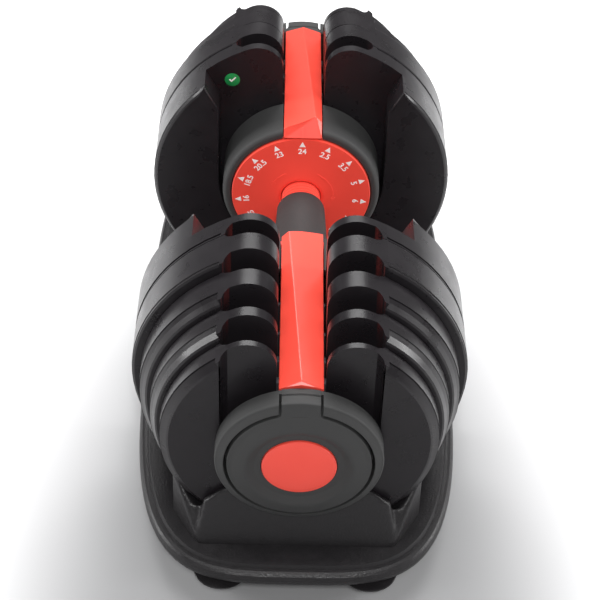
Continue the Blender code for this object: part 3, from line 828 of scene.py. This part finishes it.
@dataclass(frozen=True)
class NumberDial:
    """Red dial with white setting marks and two embossed turning arrows."""

    settings: tuple[str, ...] = ("24", "2.5", "3.5", "5", "6", "7", "8", "9", "10", "11.5", "13.5",
                                 "16", "18.5", "20.5", "23")
    rim: tuple[Flat, ...] = ((48.5, 57.5), (48.5, 52.7), (48.3, 52.2))
    socket: tuple[Flat, ...] = ((14.4, 49.7), (13.8, 50.4), (13.8, 60.4), (20.0, 60.4),
                                (20.0, 57.5))
    face: tuple[Flat, ...] = ((47.9, 52.0), (35.0, 51.6), (25.0, 50.7), (17.0, 49.5), (15.4, 49.4))
    number_middle: float = 38.3
    number_size: float = 5.9
    pointer: tuple[float, float, float] = (46.4, 42.2, 2.1)
    ink: float = 0.05
    arrow_radius: float = 22.5
    arrow_head: float = 0.16
    arrows: tuple[Flat, ...] = ((0.5, 1.75), (-0.5, -1.15))

    def height(self, radius: float) -> float:
        """Find the dial's face.

        Args:
            radius: Distance from the axis.

        Returns:
            The face's distance outwards there.
        """
        for (far, out), (near, inner) in zip(self.face, self.face[1:]):
            if radius >= near:
                return inner + (out - inner) * (min(radius, far) - near) / (far - near)
        return self.face[-1][1]

    def laid(self, shape: Shape, angle: float, middle: float) -> Shape:
        """Lay flat lettering on the dial's face.

        Args:
            shape: Lettering that faces along z.
            angle: Its place on the dial, clockwise from the top.
            middle: Radius of its middle.

        Returns:
            The same lettering, in place.
        """
        out_way = Vector((math.sin(angle), 0.0, math.cos(angle)))
        across = Vector((math.cos(angle), 0.0, -math.sin(angle)))
        for corner in shape.verts:
            spot = out_way * (middle + corner.co.y) + across * corner.co.x
            radius = math.hypot(spot.x, spot.z)
            corner.co = (spot.x, self.height(radius) - 0.03 - corner.co.z, spot.z)
        return shape

    def marks(self) -> Shape:
        """Print the numbers and pointers of all settings.

        Returns:
            The ink in its end's frame.
        """
        tip, foot, half = self.pointer
        shapes = []
        for index, text in enumerate(self.settings):
            angle = 2.0 * math.pi * index / len(self.settings)
            shapes.append(self.laid(written(text, self.number_size, self.ink), angle,
                                    self.number_middle))
            outline = ((0.0, tip - foot), (-half, 0.0), (half, 0.0))
            pointer = lofted([[(x, y, z) for x, y in outline] for z in (-self.ink, self.ink)])
            shapes.append(self.laid(pointer, angle, foot))
        return joined(shapes)

    def arrow(self, start: float, end: float) -> Shape:
        """Emboss an arrow along an arc of the dial.

        Args:
            start: Angle where it starts, clockwise from the top.
            end: Angle of its tip.

        Returns:
            The arrow in its end's frame.
        """
        neck = end - math.copysign(self.arrow_head, end - start)
        outside = arc(self.arrow_radius + 0.5, start, neck, 14)
        inside = arc(self.arrow_radius - 0.5, neck, start, 14)
        head = [arc(self.arrow_radius + aside, at, at, 1)[0]
                for aside, at in ((1.5, neck), (0.0, end), (-1.5, neck))]
        outline = outside + head + inside
        return lofted([[(x, self.height(math.hypot(x, z)) - rise, z) for x, z in outline]
                       for rise in (-0.4, 0.22)])

    def build(self, end: End) -> None:
        """Make the dial, its marks and its arrows.

        Args:
            end: Its end of the dumbbell.
        """
        disc = joined([turned(self.rim + self.face + self.socket)]
                      + [self.arrow(*ends) for ends in self.arrows])
        install(f"{end.value}_dial_disc", disc, end.place(), CORAL_ABS, end.selector(),
                [f"{end.value}_number_dial"], Edges(sharp=40.0))
        install(f"{end.value}_dial_marks", self.marks(), end.place(), WHITE_INK, end.selector(),
                edges=Edges(weighted=False))


@dataclass(frozen=True)
class Hub:
    """Black housing round the dial, notched for the bar."""

    radius: float = 55.0
    front: float = 54.0
    back: float = 86.2
    opening: float = 49.2
    hollow: float = 52.0
    notch_half: float = 13.6
    notch_bottom: float = 46.0
    rounding: float = 3.4
    floor: tuple[float, float] = (58.2, 60.2)
    bore: float = 20.8

    def build(self, end: End) -> None:
        """Make the housing.

        Args:
            end: Its end of the dumbbell.
        """
        near, far = self.floor
        brow = (self.radius - self.rounding, self.front + self.rounding)
        profile = [(self.radius, self.back), *arc(self.rounding, QUARTER, math.pi, 6, brow),
                   (self.opening + 0.5, self.front), (self.opening, self.front + 0.5),
                   (self.opening, near), (self.bore, near), (self.bore, far), (self.hollow, far),
                   (self.hollow, self.back)]
        notch = block((-self.notch_half, self.front - 1.0, self.notch_bottom),
                      (self.notch_half, self.back + 1.0, self.radius + 5.0))
        shape = combined(turned(profile), notch, Operation.CUT)
        install(f"{end.value}_hub_ring", shape, end.place(), BLACK_NYLON, Body.DUMBBELL,
                [f"{end.value}_hub_housing"], Edges(sharp=30.0))


@dataclass(frozen=True)
class TopBar:
    """Red faceted bar over the plates' slots, with an index rib above the dial."""

    half: float = 13.0
    foot: Flat = (51.9, 49.3)
    left_crease: Flat = (54.8, 55.4)
    ridge_start: Point = (0.4, 57.0, 59.4)
    facet_start: Point = (8.6, 60.2, 61.9)
    right_crease: Flat = (60.8, 57.4)
    end: float = 183.9
    end_side: float = 48.6
    ridge_end: float = 53.9
    bottom: float = 43.1
    rib: tuple[Flat, Flat] = ((51.75, 49.6), (56.0, 56.0))
    rib_half: float = 0.75

    def shape(self) -> Shape:
        """Build the faceted bar.

        Returns:
            The bar in its end's frame.
        """
        shape = bmesh.new()
        half = self.half
        spots = {
            "foot_l": (-half, *self.foot), "foot_r": (half, *self.foot),
            "crease_l": (-half, *self.left_crease), "ridge": self.ridge_start,
            "facet": self.facet_start, "crease_r": (half, *self.right_crease),
            "top_l": (-half, self.end - 0.2, self.end_side),
            "tip": (0.0, self.end - 1.6, self.ridge_end),
            "top_r": (half, self.end - 0.2, self.end_side - 0.3),
            "peak": (0.0, self.end, self.ridge_end - 2.4),
            "low_l": (-half, self.end, self.bottom), "low_r": (half, self.end, self.bottom),
        }
        at = {name: shape.verts.new(spot) for name, spot in spots.items()}
        for names in (("foot_l", "foot_r", "crease_r", "facet", "ridge", "crease_l"),
                      ("crease_l", "ridge", "tip", "top_l"), ("ridge", "facet", "tip"),
                      ("facet", "crease_r", "top_r", "tip"), ("top_l", "tip", "top_r", "peak"),
                      ("top_l", "peak", "top_r", "low_r", "low_l"),
                      ("foot_l", "crease_l", "top_l", "low_l"),
                      ("foot_r", "low_r", "top_r", "crease_r"),
                      ("foot_l", "low_l", "low_r", "foot_r")):
            shape.faces.new([at[name] for name in names])
        bmesh.ops.triangulate(shape, faces=[face for face in shape.faces if len(face.verts) > 4])
        return outward(shape)

    def index_rib(self) -> Shape:
        """Build the small rib above the dial that the setting is read against.

        Returns:
            The rib in its end's frame.
        """
        points = []
        for out, up in self.rib:
            for x in (-self.rib_half, self.rib_half):
                points += [(x, out - 0.15, up + 0.1), (x, out + 1.5, up - 0.6)]
        return hull(points)

    def build(self, end: End) -> None:
        """Make the bar and its index rib.

        Args:
            end: Its end of the dumbbell.
        """
        install(f"{end.value}_faceted_bar", self.shape(), end.place(), CORAL_ABS, Body.DUMBBELL,
                [f"{end.value}_top_bar"], Edges(rounding=0.5, segments=3, sharp=8.0))
        install(f"{end.value}_index_rib", self.index_rib(), end.place(), CORAL_ABS, Body.DUMBBELL,
                edges=Edges(rounding=0.25))


# ---- end knob


@dataclass(frozen=True)
class EndKnob:
    """Turning knob: a ring with a keyway, a cover whose key fills it, and a domed cap."""

    radius: float = 50.0
    back: float = 184.3
    shoulder: float = 196.2
    brow: float = 199.4
    bore: float = 44.4
    keyway_half: float = 12.7
    cover_radius: float = 42.7
    key_half: float = 11.2
    fillet: float = 3.0
    cover_front: float = 199.8
    crest: Flat = (31.6, 202.6)
    cap_radius: float = 22.2
    cap_seat: float = 195.0
    crown: float = 203.2
    brow_round: float = 1.6
    back_round: float = 0.8
    floor: float = 187.3
    bore_through: float = 10.4
    notch_bottom: float = 47.8
    cover_back: float = 188.5
    edge_round: float = 0.8
    key_reach: float = 0.2
    seat_radius: float = 22.6

    def slope(self, radius: float) -> float:
        """Distance outwards of the ring's and the key's conical front at a radius."""
        share = (radius - self.bore) / (self.radius - 1.0 - self.bore)
        return self.brow - max(0.0, share) * (self.brow - self.shoulder - 0.6)

    def ring(self) -> Shape:
        """Build the outer ring with its floor, its conical front and its keyway.

        Returns:
            The ring in its end's frame.
        """
        inside = self.radius - self.brow_round
        brow = (inside, self.slope(inside) - self.brow_round)
        profile = [(self.bore, self.brow - 0.9), (self.bore + 0.25, self.brow - 0.3),
                   (self.bore + 0.9, self.slope(self.bore + 0.7)),
                   *arc(self.brow_round, 0.0, QUARTER, 5, brow),
                   (self.radius, self.back + self.back_round),
                   (self.radius - self.back_round, self.back), (self.bore_through, self.back),
                   (self.bore_through, self.floor), (self.bore, self.floor)]
        half = self.keyway_half
        above = self.radius + 10.0
        corner = (half - self.fillet, self.bore - 4.0)
        side = [(half, above)] + arc(self.fillet, QUARTER, math.pi, 5, corner)
        keyway = slab(mirrored(side), (self.floor + 0.1, self.crown + 6.8))
        notch = block((-half, self.back - 4.3, self.notch_bottom), (half, self.floor + 0.7, above))
        return combined(combined(turned(profile), keyway, Operation.CUT), notch, Operation.CUT)

    def cover_outline(self, inset: float) -> list[Flat]:
        """Outline of the round cover with its key.

        Args:
            inset: How far every edge is moved in.

        Returns:
            Its corners, across and up.
        """
        half = self.key_half - inset
        reach = self.cover_radius - inset
        round_in = self.fillet + inset
        across = half + round_in
        up = math.sqrt((reach + round_in) ** 2 - across ** 2)
        turn = math.atan2(across, up)
        lower = arc(reach, math.pi, turn, 40)
        corner = arc(round_in, turn + math.pi, 3.0 * QUARTER, 6, (across, up))[1:]
        top = self.radius - self.key_reach - inset
        brow = arc(top, math.asin(half / top), 0.0, 6)
        return mirrored(lower + corner + brow)

    def front_at(self, x: float, z: float, inset: float) -> float:
        """Find the cover's rounded front edge.

        Args:
            x: Place across of a point of the outline.
            z: Height of the point.
            inset: How far the outline is moved in.

        Returns:
            The edge's distance outwards there.
        """
        reach = math.hypot(x, z)
        edge = self.cover_front if reach < self.bore else self.slope(reach) + 0.1
        lean = math.acos(max(0.0, 1.0 - inset / self.edge_round))
        return edge - self.edge_round * (1.0 - math.sin(lean))

    def cover(self) -> Shape:
        """Build the bulging cover with its key and the dished seat of the cap.

        Returns:
            The cover in its end's frame.
        """
        rings = [[(x, self.cover_back, z) for x, z in self.cover_outline(0.0)]]
        for inset in (0.0, 0.08, 0.3, self.edge_round):
            rings.append([(x, self.front_at(x, z, inset), z) for x, z in self.cover_outline(inset)])
        top = self.radius - self.key_reach
        lean = math.asin(self.key_half / top)
        tail = arc(top, lean, -lean, 12) + [(-self.key_half, 48.0), (self.key_half, 48.0)]
        key = slab(tail, (self.back + 0.2, self.cover_back + 1.5))
        plate = combined(lofted(rings), key, Operation.ADD)
        out = self.cover_front
        edge = self.cover_radius - 0.9
        far, brow = self.crest
        seat = [(self.seat_radius, self.cap_seat), (0.0, self.cap_seat)]
        bulge = turned([(0.0, out - 4.0), (edge, out - 4.0), (edge, out - 0.05), (39.0, out + 0.9),
                        (35.5, out + 2.0), (far + 1.8, brow - 0.25), (far + 0.7, brow),
                        (far - 0.6, brow - 0.15), (far - 1.8, brow - 0.8), (27.2, out + 0.4),
                        (25.4, out - 0.3), (22.9, out - 0.7), (self.seat_radius, out - 1.0), *seat])
        well = turned([(0.0, out + 6.0), (self.seat_radius, out + 6.0), *seat])
        return combined(combined(plate, well, Operation.CUT), bulge, Operation.ADD)

    def cap(self) -> Shape:
        """Build the domed cap.

        Returns:
            The cap in its end's frame.
        """
        dome = [((self.cap_radius - 0.5) * step / 10.0, self.crown - 2.2 * (step / 10.0) ** 2.3)
                for step in range(11)]
        profile = dome + [(self.cap_radius - 0.1, self.crown - 2.6),
                          (self.cap_radius, self.crown - 3.2),
                          (self.cap_radius, self.cap_seat + 0.3), (0.0, self.cap_seat + 0.3)]
        return turned(profile, FINE)

    def build(self, end: End) -> None:
        """Make the knob's three pieces.

        Args:
            end: Its end of the dumbbell.
        """
        side = end.value
        place = end.place()
        install(side + "_knob_rim", self.ring(), place, BLACK_NYLON, end.selector(),
                [side + "_knob_ring"], Edges(sharp=30.0))
        install(side + "_knob_front", self.cover(), place, BLACK_NYLON, end.selector(),
                [side + "_knob_cover"], Edges(sharp=30.0))
        install(side + "_knob_dome", self.cap(), place, CORAL_ABS, end.selector(),
                [side + "_knob_cap"], Edges(sharp=35.0))


# ---- handle


@dataclass(frozen=True)
class Handle:
    """Rubber grip and the two stepped red necks."""

    grip_radius: float = 16.5
    belly: float = 17.6
    half_length: float = 38.0
    shoulder: float = 4.5
    tube: float = 10.3
    neck: float = 13.3
    neck_end: float = 57.7
    thin: float = 12.5
    rise: float = 0.25
    pitch: float = 2.6

    def grip(self) -> Shape:
        """Build the grip with its rounded shoulders and slight belly.

        Returns:
            The grip in its end's frame.
        """
        straight = self.half_length - self.shoulder
        centre = (self.grip_radius - self.shoulder, straight)
        side = [(11.5, self.half_length), *arc(self.shoulder, 0.0, QUARTER, 8, centre)]
        for share in (0.8, 0.6, 0.4, 0.2, 0.0):
            swell = (self.belly - self.grip_radius) * math.cos(share * QUARTER)
            side.append((self.grip_radius + swell, straight * share))
        profile = side + [(radius, -out) for radius, out in reversed(side[:-1])]
        profile += [(self.tube, -self.half_length), (self.tube, self.half_length)]
        return turned(profile, FINE)

    def collar(self) -> Shape:
        """Build a neck with fine rings that step up towards the dial.

        Returns:
            The neck in its end's frame.
        """
        start = self.half_length + 0.3
        profile = [(self.tube, start), (self.thin - 0.3, start), (self.thin, start + 0.3)]
        for ring in range(4):
            at = start + 2.2 + ring * self.pitch
            base = self.thin + ring * self.rise
            profile += [(base, at), (base - self.rise, at + 0.2), (base - self.rise, at + 0.6),
                        (base + 0.2, at + 0.8)]
        profile += [(self.neck, start + 12.0), (self.neck, self.neck_end),
                    (self.tube, self.neck_end)]
        return turned(profile, FINE)

    def build(self) -> None:
        """Make the grip and both necks."""
        install("grip_sleeve", self.grip(), End.REAR.place(), GRIP_RUBBER, Body.DUMBBELL,
                ["rubber_grip"], Edges(sharp=40.0))
        for end in End:
            install(f"{end.value}_ringed_neck", self.collar(), end.place(), CORAL_ABS,
                    Body.DUMBBELL, [f"{end.value}_grip_collar"], Edges(sharp=30.0))


@dataclass(frozen=True)
class InspectionSticker:
    """Round green sticker on the web of the rear innermost plate, with a plain tick."""

    middle: Flat = (-49.1, 71.9)
    web: float = 87.0
    radius: float = 5.2
    paper: float = 0.12
    edge: float = 0.1
    tick: tuple[Flat, ...] = ((-2.4, 0.1), (-1.6, 0.9), (-0.6, -0.3), (2.0, 2.4), (2.7, 1.7),
                              (-0.6, -2.0))

    def build(self) -> None:
        """Make the sticker and its tick."""
        x, z = self.middle
        rings = []
        for rise, inset in ((0.0, 0.0), (self.paper, 0.0), (self.paper + 0.04, self.edge)):
            ring = arc(self.radius - inset, 0.0, 2.0 * math.pi, 40, self.middle)[:-1]
            rings.append([(across, self.web - rise, up) for across, up in ring])
        tick = slab([(x + across, z + up) for across, up in self.tick],
                    (self.web - self.paper, self.web - 0.2))
        for name, shape, finish in (("inspection_sticker", lofted(rings), GREEN_PAPER),
                                    ("sticker_tick", tick, WHITE_INK)):
            install(name, shape, End.REAR.place(), finish, Body.DUMBBELL,
                    edges=Edges(weighted=False))


# ---- tray


@dataclass(frozen=True)
class Tray:
    """Pebbled tray: a rolled shell with a cradle block at each end."""

    exponent: float = 3.8
    points: int = 144
    wall: float = 3.0
    rings: tuple[Point, ...] = (
        (105.5, 220.3, 27.0), (105.8, 220.7, 28.4), (105.9, 220.9, 30.0), (105.6, 220.5, 31.7),
        (104.9, 219.7, 33.2), (103.8, 218.4, 34.4), (102.4, 216.8, 34.9), (100.8, 215.0, 34.7),
        (99.0, 212.9, 33.4), (97.2, 210.8, 31.2), (93.6, 206.6, 25.0), (90.2, 202.6, 18.4),
        (87.4, 199.3, 12.8), (84.8, 196.2, 9.6), (82.0, 193.0, 8.0),
    )
    play: float = 0.7
    knob_room: float = 51.5
    room_start: float = 60.0
    room_end: float = 201.0
    floor: float = 7.0
    voxel: float = 1.35
    leg_places: Flat = (46.0, 190.0)
    leg_radii: Flat = (10.5, 18.0)
    leg_height: float = 18.0
    leg_foot: float = 3.0
    leg_lean: float = 0.7

    def ring(self, half_width: float, half_length: float, height: float) -> list[Point]:
        """Rounded rectangle at one height.

        Args:
            half_width: Its half width.
            half_length: Its half length.
            height: Its height over the ground.

        Returns:
            Its points in order.
        """
        power = 2.0 / self.exponent
        points = []
        for index in range(self.points):
            angle = 2.0 * math.pi * index / self.points
            across = math.copysign(abs(math.cos(angle)) ** power, math.cos(angle))
            along = math.copysign(abs(math.sin(angle)) ** power, math.sin(angle))
            points.append((half_width * across, half_length * along, height))
        return points

    def shell(self) -> Shape:
        """Build the skirt, the rolled rim and the floor as one wall.

        Returns:
            The wall in the model's frame.
        """
        sheet = lofted([self.ring(*ring) for ring in self.rings])
        start = self.rings[0][2]
        under = next(face for face in sheet.faces if all(v.co.z == start for v in face.verts))
        bmesh.ops.delete(sheet, geom=[under], context="FACES_ONLY")
        outward(sheet)
        if max(sheet.faces, key=lambda face: face.calc_area()).normal.z < 0.0:
            bmesh.ops.reverse_faces(sheet, faces=sheet.faces)
        draft = drafted("tray_sheet", sheet)
        wall = draft.modifiers.new("wall", "SOLIDIFY")
        wall.thickness = self.wall
        wall.offset = -1.0
        wall.use_even_offset = True
        return applied(draft)

    def plate_room(self) -> Shape:
        """Stepped round space for the plates and the knob of one end.

        Returns:
            The space in its end's frame.
        """
        reach = self.knob_room
        profile = [(0.0, self.room_end), (reach, self.room_end)]
        for plate in reversed(PLATES):
            out = plate.face + self.play
            profile += [(reach, out), (plate.radius + self.play, out)]
            reach = plate.radius + self.play
        profile += [(reach, self.room_start), (0.0, self.room_start)]
        return turned(profile)

    def cradle(self, axis: float) -> Shape:
        """Build a soft-edged block with the knob's pedestal and a buttress on each side.

        Args:
            axis: Height of the handle's axis.

        Returns:
            The block in its end's frame.
        """
        floor = self.floor - axis
        shapes = [block((-62.0, 126.9, floor), (62.0, 172.0, -50.0))]
        pedestal = ((44.5, 178.0, -36.5), (44.5, 187.0, -36.5), (57.0, 178.0, -47.0),
                    (57.0, 189.8, -47.0), (62.0, 178.0, -70.5), (62.0, 197.0, -70.5),
                    (60.0, 199.6, -80.0), (56.0, 197.0, -91.5), (54.0, 192.0, -98.5),
                    (36.0, 191.5, floor + 0.5), (36.0, 171.0, floor), (54.0, 171.0, floor))
        both = [(sign * x, out, z) for sign in (-1.0, 1.0) for x, out, z in pedestal]
        shapes.append(hull(both))
        buttress = ((77.5, 169.3, -37.5), (69.0, 169.3, -37.5), (59.5, 186.0, -56.0),
                    (62.0, 197.0, -70.5), (79.0, 169.3, -93.0), (64.0, 190.0, -93.0),
                    (72.0, 169.3, -102.0), (62.0, 178.0, -104.5), (60.0, 188.0, -101.0),
                    (44.0, 191.5, -105.0), (44.0, 169.3, floor), (50.0, 186.0, -60.0))
        for sign in (-1.0, 1.0):
            shapes.append(hull([(sign * x, out, z) for x, out, z in buttress]))
        whole = shapes[0]
        for other in shapes[1:]:
            whole = combined(whole, other, Operation.ADD)
        whole = combined(whole, self.plate_room(), Operation.CUT)
        draft = drafted("cradle", whole)
        skin = draft.modifiers.new("skin", "REMESH")
        skin.mode = "VOXEL"
        skin.voxel_size = self.voxel
        ease = draft.modifiers.new("ease", "SMOOTH")
        ease.factor = 0.5
        ease.iterations = 5
        return applied(draft)

    def leg(self, x: float, out: float) -> Shape:
        """Build a tapered leg over a foot.

        Args:
            x: Its place across.
            out: Its place along the tray.

        Returns:
            The leg in the model's frame.
        """
        shape = bmesh.new()
        low, high = self.leg_radii
        bmesh.ops.create_cone(shape, cap_ends=True, segments=40, radius1=low, radius2=high,
                              depth=self.leg_height)
        middle = self.leg_foot + self.leg_height / 2.0
        bmesh.ops.translate(shape, vec=(x, out, middle), verts=shape.verts)
        lean = math.copysign(self.leg_lean, out)
        for corner in shape.verts:
            corner.co.y += lean * (corner.co.z - self.leg_foot)
        return shape

    def build(self, axis: float) -> None:
        """Make the shell, the legs and both cradle blocks.

        Args:
            axis: Height of the handle's axis.
        """
        scale = Matrix.Scale(MM, 4)
        install("tray_body", self.shell(), scale, TRAY_PEBBLE, Body.TRAY, ["tray_shell"],
                Edges(sharp=40.0))
        across, along = self.leg_places
        legs = [self.leg(x, out) for x in (-across, across) for out in (-along, along)]
        install("tray_legs", joined(legs), scale, TRAY_PEBBLE, Body.TRAY, edges=Edges(rounding=0.8))
        for end in End:
            install(f"{end.value}_cradle_block", self.cradle(axis), end.place(), TRAY_PEBBLE,
                    Body.TRAY, edges=Edges(sharp=60.0, weighted=False))


# ---- the model


PLATES = (
    WeightPlate(1, 104.0, 66.0, (87.0, 93.0), 101.0, 98.4, 1.3),
    WeightPlate(2, 104.0, 101.5, (105.0, 119.0), 126.5, 123.8, 1.8),
    WeightPlate(3, 98.0, 127.0, (129.5, 142.5), 149.5, 142.8, 5.2),
    WeightPlate(4, 90.5, 150.0, (153.0, 160.0), 168.5, 160.6, 4.8),
    WeightPlate(5, 83.5, 169.0, (172.5, 176.5), 183.5, 179.0, 5.6),
)


def dress_nodes(nodes: dict[str, bpy.types.Object]) -> None:
    """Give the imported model's own pieces their finishes.

    Args:
        nodes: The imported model's objects by name.
    """
    finishes: tuple[tuple[str, Finish], ...] = (
        ("_core", OILED_STEEL), ("selector_disc", DISC_NYLON), ("selector_sleeve", ZINC_PLATE),
        ("lock_", ZINC_PLATE), ("screw", ZINC_PLATE), ("handle_tube", ZINC_PLATE),
        ("carrier", BLACK_NYLON), ("bridge", BLACK_NYLON), ("foot", GRIP_RUBBER),
        ("grip", GRIP_RUBBER), ("collar", CORAL_ABS), ("dial", CORAL_ABS), ("top_bar", CORAL_ABS),
        ("cap", CORAL_ABS), ("knob", BLACK_NYLON), ("housing", BLACK_NYLON), ("tray", TRAY_PEBBLE),
        ("plate", PLATE_SHELL),
    )
    for name, item in nodes.items():
        finish = next(made for part, made in finishes if part in name)
        item.data.materials.clear()
        item.data.materials.append(finish.material())
        LOG.info("%s: %s", name, finish.name)


@dataclass(frozen=True)
class Studio:
    """Pale floor with a painted shadow round the tray, soft lights and the camera."""

    floor_tone: str = "#f4f4f5"
    # The next five fields paint a shadow on the floor round the tray: its colour, where it fades
    # out, and how it is stretched and moved.
    painted_shadow_tone: str = "#9c9c9d"
    near: float = 0.1
    far: float = 0.27
    squeeze: Point = (1.0, 0.62, 1.0)
    shift: Point = (0.0, 0.13, 0.0)
    size: float = 6.0
    air: float = 0.26
    camera_place: Point = (-0.0152, -0.8174, 0.8174)
    pitch: float = 0.7467
    yaw: float = -0.01982
    roll: float = 0.03585
    lens: float = 95.51
    sensor: float = 36.0
    clip: float = 0.05

    def floor(self) -> None:
        """Lay the floor, with a painted shadow that darkens it round the tray."""
        shape = bmesh.new()
        bmesh.ops.create_grid(shape, x_segments=1, y_segments=1, size=self.size)
        made = drafted("studio_floor", shape)
        paper = bpy.data.materials.new("pale_paper_painted_shadow")
        paper.use_nodes = True
        tree = paper.node_tree
        place = add_node(tree, "TexCoord", {}).outputs["Object"]
        spread = add_node(tree, "VectorMath", {
            0: place, 1: self.squeeze}, operation="MULTIPLY")
        moved = add_node(tree, "VectorMath", {
            0: spread.outputs["Vector"], 1: self.shift}, operation="ADD")
        reach = add_node(tree, "VectorMath", {0: moved.outputs["Vector"]},
                         operation="LENGTH")
        # Painted shadow: the floor's colour darkens towards the tray.
        shadow_fade = add_node(tree, "MapRange", {
            "Value": reach.outputs["Value"], "From Min": self.near, "From Max": self.far},
            interpolation_type="SMOOTHSTEP")
        tone = add_node(tree, "Mix", {
            0: shadow_fade.outputs["Result"], 6: linear(self.painted_shadow_tone), 7: linear(self.floor_tone)},
            data_type="RGBA")
        fibre = add_node(tree, "TexNoise", {
            "Vector": place, "Scale": 900.0, "Detail": 2.0})
        bump = add_node(tree, "Bump", {
            "Strength": 0.1, "Distance": 0.0002, "Height": fibre.outputs["Fac"]})
        fill(tree.nodes["Principled BSDF"], {
            "Base Color": tone.outputs[2], "Normal": bump.outputs["Normal"], "Roughness": 0.9})
        made.data.materials.append(paper)

    def lamp(self, name: str, place: Point, aim: Point, size: Flat, power: float) -> None:
        """Hang one soft light.

        Args:
            name: Its name.
            place: Where it hangs, in metres.
            aim: What it points at.
            size: Its width and height.
            power: Its power in watts.
        """
        light = bpy.data.lights.new(name, "AREA")
        light.shape = "RECTANGLE"
        light.size, light.size_y = size
        light.energy = power
        made = bpy.data.objects.new(name, light)
        made.location = place
        way = Vector(aim) - Vector(place)
        made.rotation_euler = way.to_track_quat("-Z", "Y").to_euler()
        bpy.context.scene.collection.objects.link(made)

    def lights(self) -> None:
        """Hang the lights and set the world's own."""
        middle = (0.0, 0.0, 0.1)
        self.lamp("overhead", (0.0, 0.85, 1.4), middle, (1.3, 0.5), 20.0)
        for name, x in (("left_side", -1.3), ("right_side", 1.3)):
            self.lamp(name, (x, 0.1, 0.6), middle, (0.3, 0.8), 12.0)
        self.lamp("front_fill", (0.0, -1.7, 2.1), (0.0, 0.0, 0.15), (0.4, 0.3), 32.0)
        self.lamp("top_strip", (0.0, -0.05, 1.5), (0.0, -0.05, 0.1), (0.9, 0.12), 7.0)
        world = bpy.data.worlds.new("studio_air")
        world.use_nodes = True
        fill(world.node_tree.nodes["Background"], {
            "Color": (1.0, 1.0, 1.0, 1.0), "Strength": self.air})
        bpy.context.scene.world = world
        bpy.context.scene.view_settings.view_transform = "Standard"

    def camera(self) -> None:
        """Set up the camera."""
        level = math.cos(self.pitch)
        ahead = Vector((-math.sin(self.yaw) * level, math.cos(self.yaw) * level,
                        -math.sin(self.pitch)))
        right = Vector((math.cos(self.yaw), math.sin(self.yaw), 0.0))
        up = right.cross(ahead)
        across = right * math.cos(self.roll) + up * math.sin(self.roll)
        upright = up * math.cos(self.roll) - right * math.sin(self.roll)
        lens = bpy.data.cameras.new("camera")
        lens.lens = self.lens
        lens.sensor_width = self.sensor
        lens.clip_start = self.clip
        made = bpy.data.objects.new("camera", lens)
        turn = Matrix((across, upright, -ahead)).transposed().to_4x4()
        made.matrix_world = Matrix.Translation(self.camera_place) @ turn
        bpy.context.scene.collection.objects.link(made)
        bpy.context.scene.camera = made


def main() -> None:
    """Build the whole scene."""
    logging.basicConfig(level=logging.INFO, format="%(message)s")
    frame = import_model()
    dress_nodes(frame["nodes"])
    Tray().build(axis_height() / MM)
    Handle().build()
    for end in End:
        for plate in PLATES:
            plate.build(end)
        NumberDial().build(end)
        Hub().build(end)
        TopBar().build(end)
        EndKnob().build(end)
    InspectionSticker().build()
    studio = Studio()
    studio.floor()
    studio.lights()
    studio.camera()


if __name__ == "__main__":
    main()
